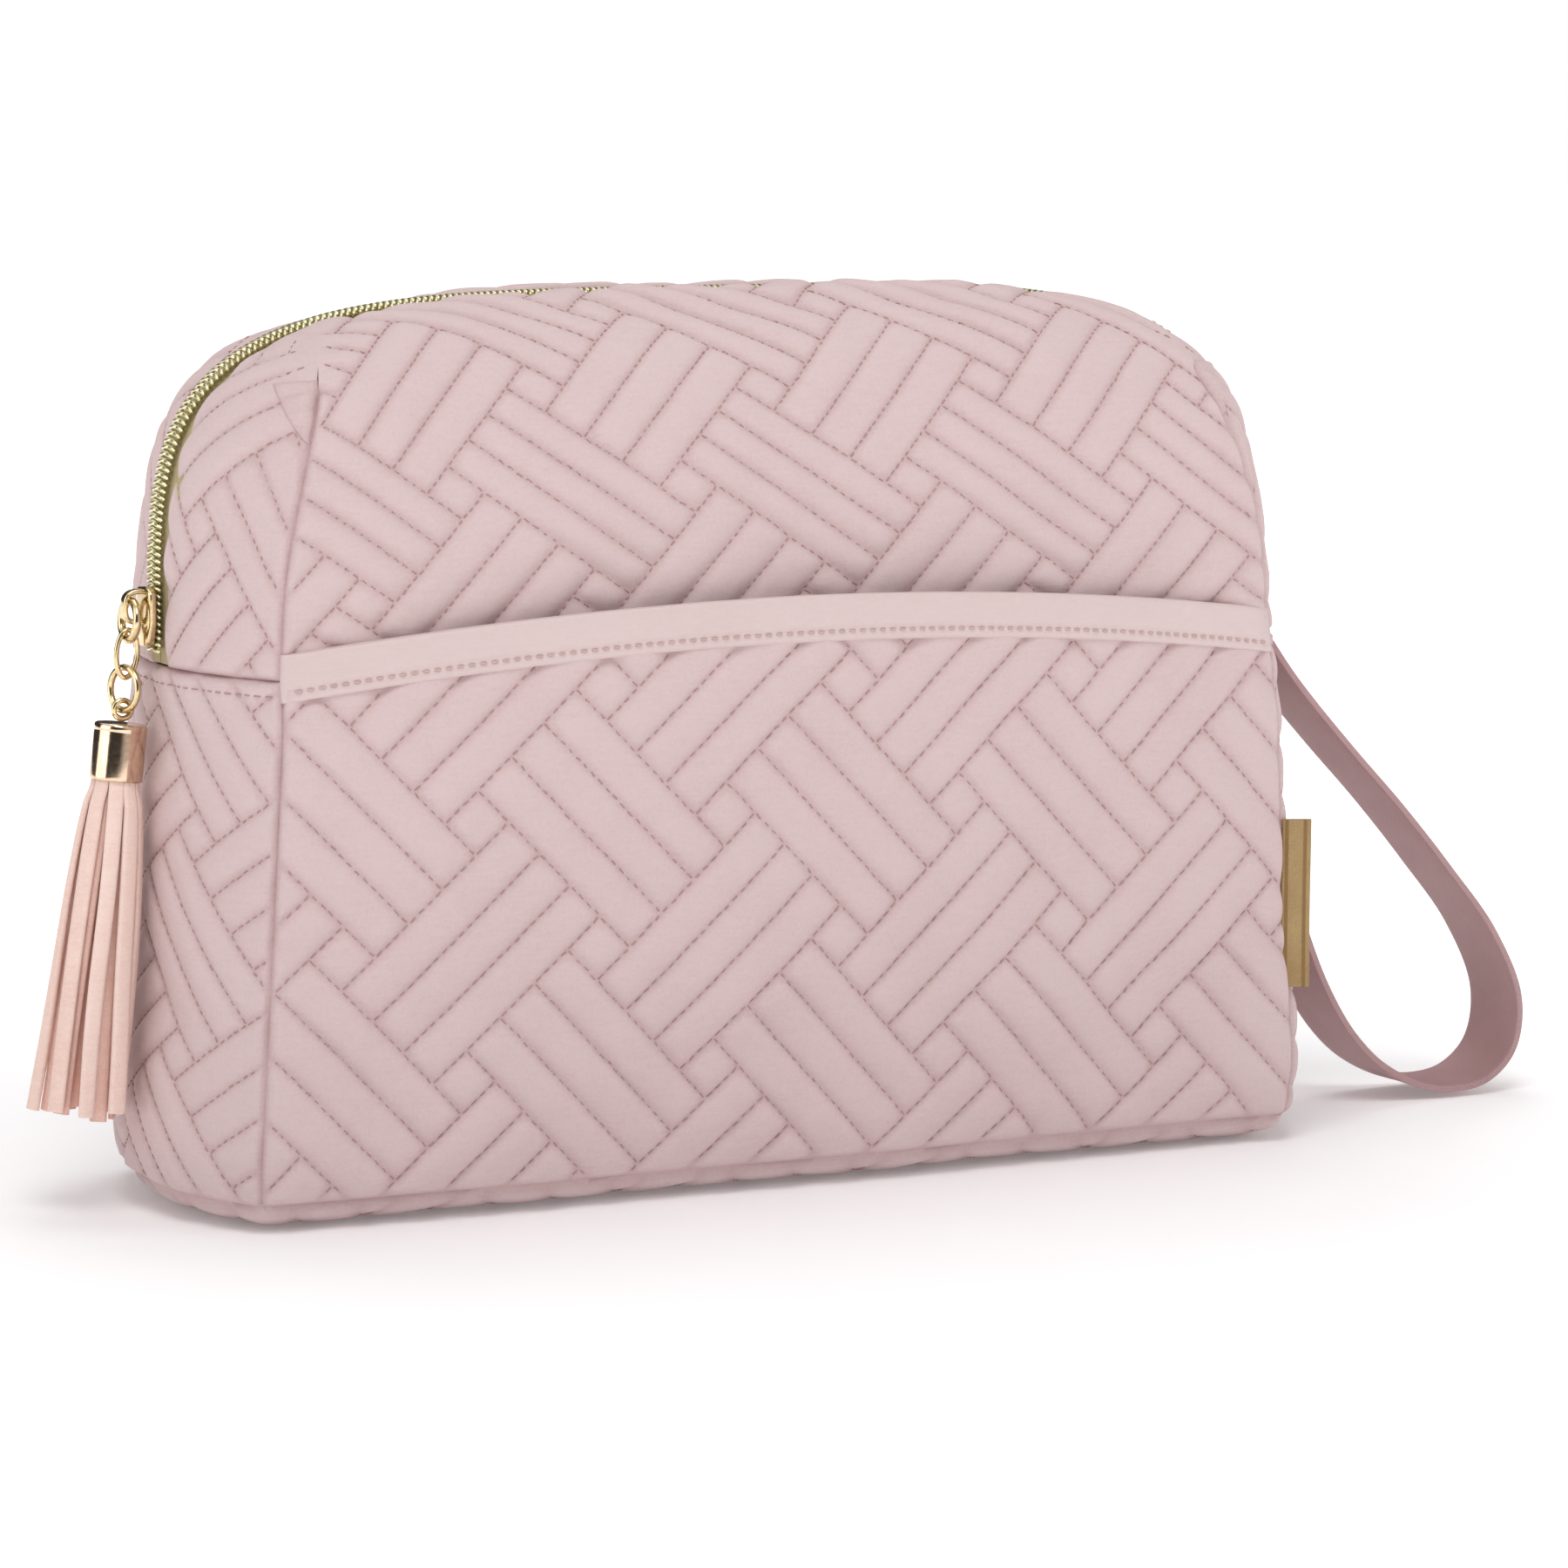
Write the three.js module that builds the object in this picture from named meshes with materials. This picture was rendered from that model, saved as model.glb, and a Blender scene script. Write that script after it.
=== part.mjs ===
// Quilted makeup bag with a domed zip top, a slip pocket, a tassel pull and a wrist strap.
// Millimetres, +Z up. The front faces -Y, the pull hangs on the -X side, the strap on the +X side.
// The origin is the middle of the flat underside.
import * as THREE from 'three';
import { mergeVertices } from 'three/addons/utils/BufferGeometryUtils.js';

// Overall body
const seamZ = 113;              // horizontal side seam, where the zip ends
const frontSplitZ = 119;        // hinge line of the mouth, behind the pocket's binding
const topZ = 187;               // zip ridge
const baseThickness = 6;
const cornerHalfWidthBase = 121.5;
const cornerHalfWidthSeam = 115;
const cornerHalfDepth = 41;
const frontRecess = 2.4;        // the pocket lies over the front wall, which is set back
const sideBulge = 11.5;
const frontBulge = 2;
const backBulge = 4;
const archHalfWidth = 126.5;
const archExponent = 4.2;       // superellipse of the zip arch
const archCornerX = 97;         // where the corner seams would meet the zip
const shoulderMiddle = 2.4;     // superellipse of the cross-section at mid width
const shoulderCorner = 3.0;     // and along the corner seams
const wall = 2.4;               // quilted wall
const gap = 0.3;                // clearance between neighbouring solids

// Lining
const liningThickness = 0.7;
const liningInset = wall + 2.5 * gap;

// Pocket
const pocketThickness = 2.4;
const pocketGape = 6.4;         // widest opening behind the pocket's top edge
const bindingHeight = 9;
const bindingLipLeft = 118.4;   // top edge of the binding at the left and right ends
const bindingLipRise = 8.4;     // how far it bows up at mid width
const bindingThickness = 3.2;

// Zip
const tapeHalfWidth = 8.3;
const tapeThickness = 0.8;
const coilWidth = 2.7;
const coilHeight = 1.2;
const zipGap = 0.2;             // from the middle plane to each tape
const panelZipEdge = 8.6;       // the walls stop this far from the middle plane

// Slider and pull, on the left zip end
const sliderLength = 12.5;
const sliderWidth = 8.6;
const sliderThickness = 1.7;
const sliderX = -128.5;         // inner face of the slider
const sliderZ = 117;            // lower end of the slider
const bridgeReach = 4;
const bridgeHalfHeight = 3.2;
const bridgeWire = 1.1;
const wireRadius = 0.7;         // of the pull ring
const linkWire = 0.6;
const ringSize = { width: 10.6, height: 9.4 };
const ringTopZ = sliderZ + sliderLength - 2.9;
const chainX = -132.6;
const linkSize = { width: 5.6, height: 11 };
const linkClearance = 0.7;
const roundRadius = 4.4;        // wire centre line of the round link
const roundWire = 0.75;
const pullLean = 5.2;           // degrees that the chain leans away from the bag's side
const roundTurn = 19;           // degrees that the round link is turned about Z
const eyeRadius = 1.9;
const eyeWire = 0.6;

// Tassel
const tasselLean = 1.5;         // degrees that the tassel leans beyond the chain
const capRadius = 5.5;
const capHeight = 11.8;
const capWall = 0.4;
const stripLength = 70;
const stripThickness = 0.9;
const stripTuck = 6;            // length hidden in the cap
const outerStrips = 8;
const innerStrips = 4;

// Wrist strap
const strapWidth = 20;
const strapThickness = 1.7;

// Label in the right front seam
const labelHeight = 37;
const labelReach = 6;
const labelThickness = 1.5;
const labelZ = 35;

const finishes = {
  quilt: { color: 0xd6b2b4, roughness: 0.85, metalness: 0 },
  lining: { color: 0xcdb6b4, roughness: 0.7, metalness: 0 },
  binding: { color: 0xe0c4c3, roughness: 0.7, metalness: 0 },
  tape: { color: 0xcfa6aa, roughness: 0.8, metalness: 0 },
  coil: { color: 0xcdc78c, roughness: 0.3, metalness: 0.9 },
  gold: { color: 0xd8b072, roughness: 0.2, metalness: 1 },
  suede: { color: 0xeec6ba, roughness: 0.9, metalness: 0 },
  strap: { color: 0xb48a90, roughness: 0.7, metalness: 0 },
  label: { color: 0xd2b676, roughness: 0.6, metalness: 0.1 },
};

const bag = new THREE.Group();

function add(name, geometry, finish, parent = bag) {
  const mesh = new THREE.Mesh(geometry, new THREE.MeshStandardMaterial(finishes[finish]));
  mesh.name = name;
  parent.add(mesh);
  return mesh;
}

// Six times the signed volume of an indexed geometry, positive when its faces point out.
function signedVolume(position, index) {
  const a = new THREE.Vector3();
  const b = new THREE.Vector3();
  const c = new THREE.Vector3();
  let sum = 0;
  for (let i = 0; i < index.length; i += 3) {
    a.fromBufferAttribute(position, index[i]);
    b.fromBufferAttribute(position, index[i + 1]);
    c.fromBufferAttribute(position, index[i + 2]);
    sum += a.dot(b.cross(c));
  }
  return sum;
}

// Merges equal vertices, drops faces that collapse there and turns the faces outwards.
function closeBody(points, faces) {
  const raw = new THREE.BufferGeometry();
  raw.setAttribute('position', new THREE.Float32BufferAttribute(points.flatMap((p) => p.toArray()), 3));
  raw.setIndex(faces.flat());
  const merged = mergeVertices(raw, 1e-4);
  const old = merged.getIndex().array;
  let kept = [];
  for (let i = 0; i < old.length; i += 3) {
    const [a, b, c] = [old[i], old[i + 1], old[i + 2]];
    if (a !== b && b !== c && c !== a) kept.push([a, b, c]);
  }
  if (signedVolume(merged.getAttribute('position'), kept.flat()) < 0) {
    kept = kept.map(([a, b, c]) => [a, c, b]);
  }
  merged.setIndex(kept.flat());
  merged.computeVertexNormals();
  return merged;
}

// A plate between two grids of points, outer(u, v) and inner(u, v), with u and v from 0 to 1.
// ring closes it on itself along u.
function plate(outer, inner, stepsU, stepsV, ring = false) {
  const columns = ring ? stepsU : stepsU + 1;
  const rows = stepsV + 1;
  const points = [];
  for (const side of [outer, inner]) {
    for (let i = 0; i < columns; i += 1) {
      for (let j = 0; j < rows; j += 1) points.push(side(i / stepsU, j / stepsV));
    }
  }
  const at = (side, i, j) => side * columns * rows + (i % columns) * rows + j;
  const faces = [];
  const quad = (a, b, c, d) => faces.push([a, b, c], [a, c, d]);
  for (let i = 0; i < stepsU; i += 1) {
    for (let j = 0; j < stepsV; j += 1) {
      quad(at(0, i, j), at(0, i + 1, j), at(0, i + 1, j + 1), at(0, i, j + 1));
      quad(at(1, i, j), at(1, i, j + 1), at(1, i + 1, j + 1), at(1, i + 1, j));
    }
    quad(at(0, i, 0), at(1, i, 0), at(1, i + 1, 0), at(0, i + 1, 0));
    quad(at(0, i, stepsV), at(0, i + 1, stepsV), at(1, i + 1, stepsV), at(1, i, stepsV));
  }
  if (!ring) {
    for (let j = 0; j < stepsV; j += 1) {
      quad(at(0, 0, j), at(0, 0, j + 1), at(1, 0, j + 1), at(1, 0, j));
      quad(at(0, stepsU, j), at(1, stepsU, j), at(1, stepsU, j + 1), at(0, stepsU, j + 1));
    }
  }
  return closeBody(points, faces);
}

// A bar of rectangular section along a path: frame(u) gives its centre and two half-axes.
function bar(frame, steps, closed = false) {
  const corners = [[-1, -1], [1, -1], [1, 1], [-1, 1]];
  const count = closed ? steps : steps + 1;
  const points = [];
  for (let i = 0; i < count; i += 1) {
    const { centre, across, out } = frame(i / steps);
    for (const [s, t] of corners) {
      points.push(centre.clone().addScaledVector(across, s).addScaledVector(out, t));
    }
  }
  return joinSections(points, 4, steps, closed);
}

// Joins sections of a few points each into a closed body.
function joinSections(points, sides, steps, closed) {
  const count = points.length / sides;
  const faces = [];
  const at = (i, k) => (i % count) * sides + (k % sides);
  for (let i = 0; i < steps; i += 1) {
    for (let k = 0; k < sides; k += 1) {
      faces.push([at(i, k), at(i, k + 1), at(i + 1, k + 1)], [at(i, k), at(i + 1, k + 1), at(i + 1, k)]);
    }
  }
  if (!closed) {
    for (let k = 1; k < sides - 1; k += 1) {
      faces.push([at(0, 0), at(0, k + 1), at(0, k)]);
      faces.push([at(steps, 0), at(steps, k), at(steps, k + 1)]);
    }
  }
  return closeBody(points, faces);
}

// A wire of round section along a closed loop in the plane of the axes right and up.
function wireLoop(centre, right, up, halfWidth, halfHeight, radius, steps = 20, sides = 8) {
  const normal = new THREE.Vector3().crossVectors(right, up);
  const points = [];
  for (let i = 0; i < steps; i += 1) {
    const angle = (i / steps) * 2 * Math.PI;
    const spoke = right.clone().multiplyScalar(Math.cos(angle)).addScaledVector(up, Math.sin(angle));
    const middle = centre.clone()
      .addScaledVector(right, halfWidth * Math.cos(angle))
      .addScaledVector(up, halfHeight * Math.sin(angle));
    for (let k = 0; k < sides; k += 1) {
      const turn = (k / sides) * 2 * Math.PI;
      points.push(middle.clone()
        .addScaledVector(spoke, radius * Math.cos(turn))
        .addScaledVector(normal, radius * Math.sin(turn)));
    }
  }
  return joinSections(points, sides, steps, true);
}

const lerp = THREE.MathUtils.lerp;
const clamp = THREE.MathUtils.clamp;
const X = new THREE.Vector3(1, 0, 0);
const Y = new THREE.Vector3(0, 1, 0);
const Z = new THREE.Vector3(0, 0, 1);

// Half width of the corner seams at a height: the walls lean in a little towards the top.
function cornerX(z) {
  return lerp(cornerHalfWidthBase, cornerHalfWidthSeam, (z - baseThickness) / (seamZ - baseThickness));
}

// Height of the zip arch above the side seam at a given x, for an arch set in by inset.
function archRise(x, inset) {
  const share = clamp(Math.abs(x) / (archHalfWidth - inset), 0, 1);
  return (topZ - seamZ - inset) * (1 - share ** archExponent) ** (1 / archExponent);
}

// Half width of the zip arch at a rise above the side seam.
function archReach(rise, inset) {
  const share = clamp(rise / (topZ - seamZ - inset), 0, 1);
  return (archHalfWidth - inset) * (1 - share ** archExponent) ** (1 / archExponent);
}

// Where a vertical line of the dome starts on the side seam and ends on the zip.
// face is front or side, t runs from corner to corner; end is +1 on the right, -1 on the left.
function domeLine(face, t, end, bulge, halfDepth, inset) {
  if (face === 'front') {
    const arch = t * (archCornerX - inset);
    return {
      x0: t * (cornerHalfWidthSeam - inset),
      y0: halfDepth - inset + bulge * (1 - t * t),
      x1: arch,
      rise: archRise(arch, inset),
      power: 2 / lerp(shoulderMiddle, shoulderCorner, t * t),
    };
  }
  const share = Math.abs(t);
  const rise = archRise(archCornerX - inset, inset) * share;
  return {
    x0: end * (cornerHalfWidthSeam - inset + sideBulge * (1 - t * t)),
    y0: (halfDepth - inset) * share,
    x1: end * archReach(rise, inset),
    rise,
    power: 2 / shoulderCorner,
  };
}

// A point of the dome on such a line at an angle from 0, on the side seam, to 90 degrees, on the zip.
function domePoint(line, angle, sign) {
  const across = Math.cos(angle) ** line.power;
  const up = Math.sin(angle) ** line.power;
  const x = lerp(line.x0, line.x1, up ** 3);
  return new THREE.Vector3(x, sign * line.y0 * across, seamZ + line.rise * up);
}

const angleAtDepth = (line, y) => Math.acos(clamp(y / line.y0, 0, 1) ** (1 / line.power));
const angleAtHeight = (line, z) => Math.asin(clamp((z - seamZ) / line.rise, 0, 1) ** (1 / line.power));

// A point of the lower walls. face is front, back, left or right, t runs along it from -1 to 1.
function wallPoint(face, t, z, inset, halfDepth = cornerHalfDepth, bulge = frontBulge) {
  const cx = cornerX(z) - inset;
  const cy = halfDepth - inset;
  if (face === 'front') return new THREE.Vector3(t * cx, -(cy + bulge * (1 - t * t)), z);
  if (face === 'back') return new THREE.Vector3(t * cx, cy + bulge * (1 - t * t), z);
  const side = face === 'left' ? -1 : 1;
  return new THREE.Vector3(side * (cx + sideBulge * (1 - t * t)), t * cy, z);
}

// Front or back wall up to the hinge line of the mouth, above the side seam along the dome.
function lowerWall(sign, bulge, halfDepth) {
  const edge = 1 - gap / cornerHalfWidthSeam;
  const face = sign < 0 ? 'front' : 'back';
  const at = (inset) => (u, v) => {
    const t = lerp(-edge, edge, u);
    const z = lerp(baseThickness + gap, frontSplitZ - gap / 2, v);
    if (z <= seamZ) return wallPoint(face, t, z, inset, halfDepth, bulge);
    const line = domeLine('front', t, 1, bulge, halfDepth, inset);
    return domePoint(line, angleAtHeight(line, z), sign);
  };
  return plate(at(0), at(wall), 12, 6);
}

function lowerSide(face) {
  const low = -1 + (gap + frontRecess) / cornerHalfDepth;
  const high = 1 - gap / cornerHalfDepth;
  const at = (inset) => (u, v) => {
    const z = lerp(baseThickness + gap, seamZ - gap / 2, v);
    return wallPoint(face, lerp(low, high, u), z, inset);
  };
  return plate(at(0), at(wall), 10, 4);
}

// The base is a flat pad whose rim draws in towards the floor.
function basePanel() {
  const rimInset = 5;
  const outline = (inset, z) => {
    const faces = [['front', 1, 0], ['right', 1, 1], ['back', -1, 0], ['left', -1, 1]];
    const ring = [];
    for (const [face, run] of faces) {
      const steps = face === 'front' || face === 'back' ? 14 : 8;
      for (let i = 0; i < steps; i += 1) {
        const point = wallPoint(face, run * lerp(-1, 1, i / steps), baseThickness, inset);
        ring.push(point.setZ(z));
      }
    }
    return ring;
  };
  const bottom = outline(rimInset, 0);
  const low = outline(rimInset * 0.35, baseThickness * 0.35);
  const top = outline(0.2, baseThickness);
  return joinSections([...bottom, ...low, ...top], bottom.length, 2, false);
}

// Upper wall of one mouth half, from the hinge line up over the shoulder to the zip tape.
function upperWall(sign, bulge, halfDepth) {
  const edge = 1 - gap / archCornerX;
  const at = (inset) => (u, v) => {
    const line = domeLine('front', lerp(-edge, edge, u), 1, bulge, halfDepth, inset);
    const from = angleAtHeight(line, frontSplitZ + gap / 2);
    return domePoint(line, lerp(from, angleAtDepth(line, panelZipEdge), v), sign);
  };
  return plate(at(0), at(wall), 14, 8);
}

// Upper side piece of one mouth half, a fan round the zip's end.
function upperSide(sign, end, halfDepth) {
  const start = (panelZipEdge + wall + 1) / halfDepth;
  const stop = 1 - 2 * gap / halfDepth;
  const at = (inset) => (u, v) => {
    const line = domeLine('side', lerp(start, stop, u), end, 0, halfDepth, inset);
    const from = angleAtHeight(line, seamZ + gap / 2);
    return domePoint(line, lerp(from, angleAtDepth(line, panelZipEdge), v), sign);
  };
  return plate(at(0), at(wall), 7, 6);
}

// Runs once round a mouth half: left side, front or back face, right side.
function domeLineAround(share, bulge, halfDepth, inset, endShare) {
  const sideShare = 0.25;
  if (share < sideShare) return domeLine('side', lerp(endShare, 1, share / sideShare), -1, 0, halfDepth, inset);
  if (share > 1 - sideShare) {
    return domeLine('side', lerp(endShare, 1, (1 - share) / sideShare), 1, 0, halfDepth, inset);
  }
  return domeLine('front', lerp(-1, 1, (share - sideShare) / (1 - 2 * sideShare)), 1, bulge, halfDepth, inset);
}

// A strip along the whole zip between two distances from the middle plane.
function zipStrip(sign, bulge, halfDepth, near, far, outset, thickness, endShare, steps) {
  const at = (inset) => (u, v) => {
    const line = domeLineAround(u, bulge, halfDepth, inset, endShare);
    const reach = Math.min(far, line.y0 - gap);
    return domePoint(line, angleAtDepth(line, lerp(reach, near, v)), sign);
  };
  return plate(at(-outset), at(thickness - outset), steps, 1);
}

// Lining of one mouth half: a thin skin behind its walls.
function upperLining(sign, bulge, halfDepth) {
  const at = (inset) => (u, v) => {
    const line = domeLineAround(u, bulge, halfDepth, inset, 0.3);
    const from = angleAtHeight(line, seamZ + gap);
    return domePoint(line, lerp(from, angleAtDepth(line, panelZipEdge), v), sign);
  };
  return plate(at(liningInset), at(liningInset + liningThickness), 24, 5);
}

// Lining of the lower bag: a skin all the way round, with a floor of its own.
function lowerLining() {
  const faces = ['front', 'right', 'back', 'left'];
  const runs = [1, 1, -1, -1];
  const lowZ = baseThickness + 2 * gap + liningThickness;
  const at = (inset) => (u, v) => {
    const k = Math.min(3, Math.floor(u * 4 + 1e-9));
    const t = runs[k] * lerp(-1, 1, u * 4 - k);
    return wallPoint(faces[k], t, lerp(lowZ, seamZ - gap / 2, v), inset, cornerHalfDepth - frontRecess);
  };
  return plate(at(liningInset), at(liningInset + liningThickness), 32, 2, true);
}

function floorLining() {
  const inset = liningInset + frontRecess;
  const at = (z) => (u, v) => {
    const x = lerp(-1, 1, u) * (cornerHalfWidthBase - inset);
    const y = lerp(-1, 1, v) * (cornerHalfDepth - inset);
    return new THREE.Vector3(x, y, z);
  };
  return plate(at(baseThickness + gap + liningThickness), at(baseThickness + gap), 4, 2);
}

// Top edge of the pocket's binding: highest at mid width.
const bindingTop = (t) => bindingLipLeft + bindingLipRise * (1 - t * t);

// Inner face of the pocket: it gapes away from the wall, most at the top of the middle.
function pocketDepth(t, z) {
  const rise = clamp((z - baseThickness) / 50, 0, 1);
  const gape = pocketGape * (1 - t * t) ** 0.8 * rise * rise * (3 - 2 * rise);
  const wallFace = cornerHalfDepth - frontRecess + frontBulge * (1 - t * t);
  return wallFace + gap + gape;
}

// A plate in front of the front wall, from one height function to another.
function pocketPlate(from, to, outer, inner, stepsV) {
  const edge = 1 - gap / cornerHalfWidthSeam;
  const at = (offset) => (u, v) => {
    const t = lerp(-edge, edge, u);
    const z = lerp(from(t), to(t), v);
    return new THREE.Vector3(t * cornerX(z), -(pocketDepth(t, z) + offset), z);
  };
  return plate(at(outer), at(inner), 14, stepsV);
}

// Wrist strap: a flat band whose two ends leave the right side seam one above the other.
// The loop droops to the floor and its width stays level, along Y.
function strapFrame() {
  const route = new THREE.CatmullRomCurve3([
    [129.6, 112.4], [137.5, 102], [147.3, 90.2], [156.2, 80.3], [169.2, 67], [181.5, 53.5],
    [194, 38], [201, 21.9], [199.5, 10], [193, 3.6], [184.5, 1.7], [176, 2.8], [165.4, 8.2],
    [157, 16.4], [149.5, 28], [143.5, 41], [137.5, 57], [133, 75], [130.4, 92], [128.4, 109.4],
  ].map(([x, z]) => new THREE.Vector3(x, 0, z)), false, 'centripetal');
  return (u) => ({
    centre: route.getPointAt(u),
    across: Y.clone().multiplyScalar(strapWidth / 2),
    out: new THREE.Vector3().crossVectors(route.getTangentAt(u), Y).multiplyScalar(strapThickness / 2),
  });
}

// One fringe strip in the tassel's own frame: down from the cap, spreading with a slight wave.
function stripBar(angle, startRadius, spread, width, length, phase) {
  const radial = new THREE.Vector3(Math.cos(angle), Math.sin(angle), 0);
  const tangent = new THREE.Vector3(-Math.sin(angle), Math.cos(angle), 0);
  return bar((u) => {
    const free = clamp((u * length - stripTuck) / (length - stripTuck), 0, 1);
    const radius = startRadius + stripThickness / 2 + spread * free ** 1.3;
    const centre = radial.clone().multiplyScalar(radius)
      .addScaledVector(tangent, Math.sin(free * 2.6 + phase) * 0.5 * free)
      .addScaledVector(Z, stripTuck - u * length);
    if (centre.x > 0) centre.x *= 1 - 0.25 * free;
    return {
      centre,
      across: tangent.clone().multiplyScalar(width / 2 * (1 + 0.15 * free)),
      out: radial.clone().multiplyScalar(stripThickness / 2),
    };
  }, 8);
}

function capShell() {
  const inner = capRadius - capWall;
  const outline = [
    [0, capHeight], [capRadius - 0.3, capHeight], [capRadius, capHeight - 0.3], [capRadius, 0],
    [inner, 0], [inner, capHeight - 3], [0, capHeight - 3],
  ].map(([r, z]) => new THREE.Vector2(r, z));
  const cap = new THREE.LatheGeometry(outline, 24);
  cap.deleteAttribute('normal');
  cap.deleteAttribute('uv');
  cap.rotateX(Math.PI / 2);
  return closeBody(pointsOf(cap), trianglesOf(cap));
}

function pointsOf(geometry) {
  const position = geometry.getAttribute('position');
  return Array.from({ length: position.count }, (_, i) => new THREE.Vector3().fromBufferAttribute(position, i));
}

function trianglesOf(geometry) {
  const index = geometry.getIndex().array;
  return Array.from({ length: index.length / 3 }, (_, i) => [index[3 * i], index[3 * i + 1], index[3 * i + 2]]);
}

function addLowerBag() {
  const frontDepth = cornerHalfDepth - frontRecess;
  add('bottom_panel', basePanel(), 'quilt');
  add('front_panel', lowerWall(-1, frontBulge, frontDepth), 'quilt');
  add('back_panel', lowerWall(1, backBulge, cornerHalfDepth), 'quilt');
  add('left_side_panel', lowerSide('left'), 'quilt');
  add('right_side_panel', lowerSide('right'), 'quilt');
  add('body_lining', lowerLining(), 'lining');
  add('floor_lining', floorLining(), 'lining');
}

function addPocket() {
  const bindingLow = (t) => bindingTop(t) - bindingHeight;
  const pocketTop = (t) => bindingLow(t) - gap;
  add('front_pocket', pocketPlate(() => baseThickness + gap, pocketTop, pocketThickness, 0, 7), 'quilt');
  add('pocket_binding', pocketPlate(bindingLow, bindingTop, bindingThickness, 0, 2), 'binding');
}

function addMouthHalf(side, sign, bulge, halfDepth) {
  add(`upper_${side}_panel`, upperWall(sign, bulge, halfDepth), 'quilt');
  add(`upper_left_side_${side}`, upperSide(sign, -1, halfDepth), 'quilt');
  add(`upper_right_side_${side}`, upperSide(sign, 1, halfDepth), 'quilt');
  add(`upper_lining_${side}`, upperLining(sign, bulge, halfDepth), 'lining');
  const tape = zipStrip(sign, bulge, halfDepth, zipGap, tapeHalfWidth, 0, tapeThickness, 0.05, 40);
  const coilOutset = coilHeight + gap;
  const coil = zipStrip(sign, bulge, halfDepth, zipGap, zipGap + coilWidth, coilOutset, coilHeight, 0.1, 40);
  add(`zipper_tape_${side}`, tape, 'tape');
  add(`zipper_coil_${side}`, coil, 'coil');
}

// Slider plate with a pointed lower end, and the bridge that holds the pull.
function addSlider() {
  const half = sliderWidth / 2;
  const outline = new THREE.Shape();
  outline.moveTo(-half * 0.6, 0);
  outline.lineTo(half * 0.6, 0);
  outline.lineTo(half, sliderLength * 0.45);
  outline.lineTo(half, sliderLength);
  outline.lineTo(-half, sliderLength);
  outline.lineTo(-half, sliderLength * 0.45);
  outline.closePath();
  const body = new THREE.ExtrudeGeometry(outline, { depth: sliderThickness, bevelEnabled: false });
  body.deleteAttribute('normal');
  body.deleteAttribute('uv');
  body.applyMatrix4(new THREE.Matrix4().makeBasis(Y, Z, X));
  body.translate(sliderX - sliderThickness, 0, sliderZ);
  const indexed = mergeVertices(body, 1e-4);
  add('slider_body', closeBody(pointsOf(indexed), trianglesOf(indexed)), 'gold');

  const footX = sliderX - sliderThickness - gap;
  const middle = sliderZ + sliderLength - bridgeHalfHeight - 1;
  const bridge = bar((u) => {
    const angle = Math.PI * u;
    const square = (value) => Math.sign(value) * Math.abs(value) ** 0.6;
    const centre = new THREE.Vector3(
      footX - bridgeReach * square(Math.sin(angle)),
      0,
      middle - bridgeHalfHeight * square(Math.cos(angle)),
    );
    const out = new THREE.Vector3(-Math.sin(angle), 0, -Math.cos(angle)).multiplyScalar(bridgeWire / 2);
    return { centre, across: Y.clone().multiplyScalar(1.3), out };
  }, 12);
  add('slider_bridge', bridge, 'gold');
}

// The pull hangs from the bridge and leans out, because the bag's side bulges below it.
// Heights in the pull count down from the middle of the ring's top wire.
const ringBottomZ = 2 * wireRadius - ringSize.height;
const linkTopZ = ringBottomZ + wireRadius + linkWire + linkClearance;
const linkBottomZ = linkTopZ - linkSize.height + 2 * linkWire;
const roundTopZ = linkBottomZ + linkWire + roundWire + linkClearance;
const roundBottomZ = roundTopZ - 2 * roundRadius;
const eyeTopZ = roundBottomZ + roundWire + eyeWire + linkClearance;

function addChain(pull) {
  const ringHalf = [ringSize.width / 2 - wireRadius, -ringBottomZ / 2];
  const ringAt = new THREE.Vector3(0, 0, ringBottomZ / 2);
  add('pull_ring', wireLoop(ringAt, Y, Z, ...ringHalf, wireRadius), 'gold', pull);
  const linkAt = new THREE.Vector3(0, 0, (linkTopZ + linkBottomZ) / 2);
  const linkHalf = [linkSize.width / 2 - linkWire, (linkTopZ - linkBottomZ) / 2];
  add('oval_link', wireLoop(linkAt, X, Z, ...linkHalf, linkWire), 'gold', pull);
  const turned = Y.clone().applyAxisAngle(Z, THREE.MathUtils.degToRad(roundTurn));
  const roundAt = new THREE.Vector3(0, 0, roundTopZ - roundRadius);
  add('round_link', wireLoop(roundAt, turned, Z, roundRadius, roundRadius, roundWire), 'gold', pull);
}

// The tassel leans a little more, about its eye.
function addTassel(pull) {
  const tassel = new THREE.Group();
  tassel.position.z = roundBottomZ;
  tassel.rotation.y = THREE.MathUtils.degToRad(tasselLean);
  pull.add(tassel);
  const eyeAt = new THREE.Vector3(0, 0, eyeTopZ - roundBottomZ - eyeRadius);
  add('tassel_eye', wireLoop(eyeAt, X, Z, eyeRadius, eyeRadius, eyeWire), 'gold', tassel);
  const capTop = eyeAt.z - eyeRadius - eyeWire - gap;
  const cap = add('tassel_cap', capShell(), 'gold', tassel);
  cap.position.z = capTop - capHeight;
  const rings = [
    { name: 'outer', count: outerStrips, radius: 3.8, spread: 5.2, width: 2.7, turn: 0.2 },
    { name: 'inner', count: innerStrips, radius: 1.8, spread: 2.9, width: 2.7, turn: 0.5 },
  ];
  for (const { name, count, radius, spread, width, turn } of rings) {
    for (let i = 0; i < count; i += 1) {
      const angle = turn + (i / count) * 2 * Math.PI;
      const length = stripTuck + stripLength - 1.2 * ((i * 5) % 3);
      const strip = stripBar(angle, radius, spread, width, length, i * 1.7);
      add(`fringe_${name}_${i + 1}`, strip, 'suede', tassel).position.z = capTop - capHeight;
    }
  }
}

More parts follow.
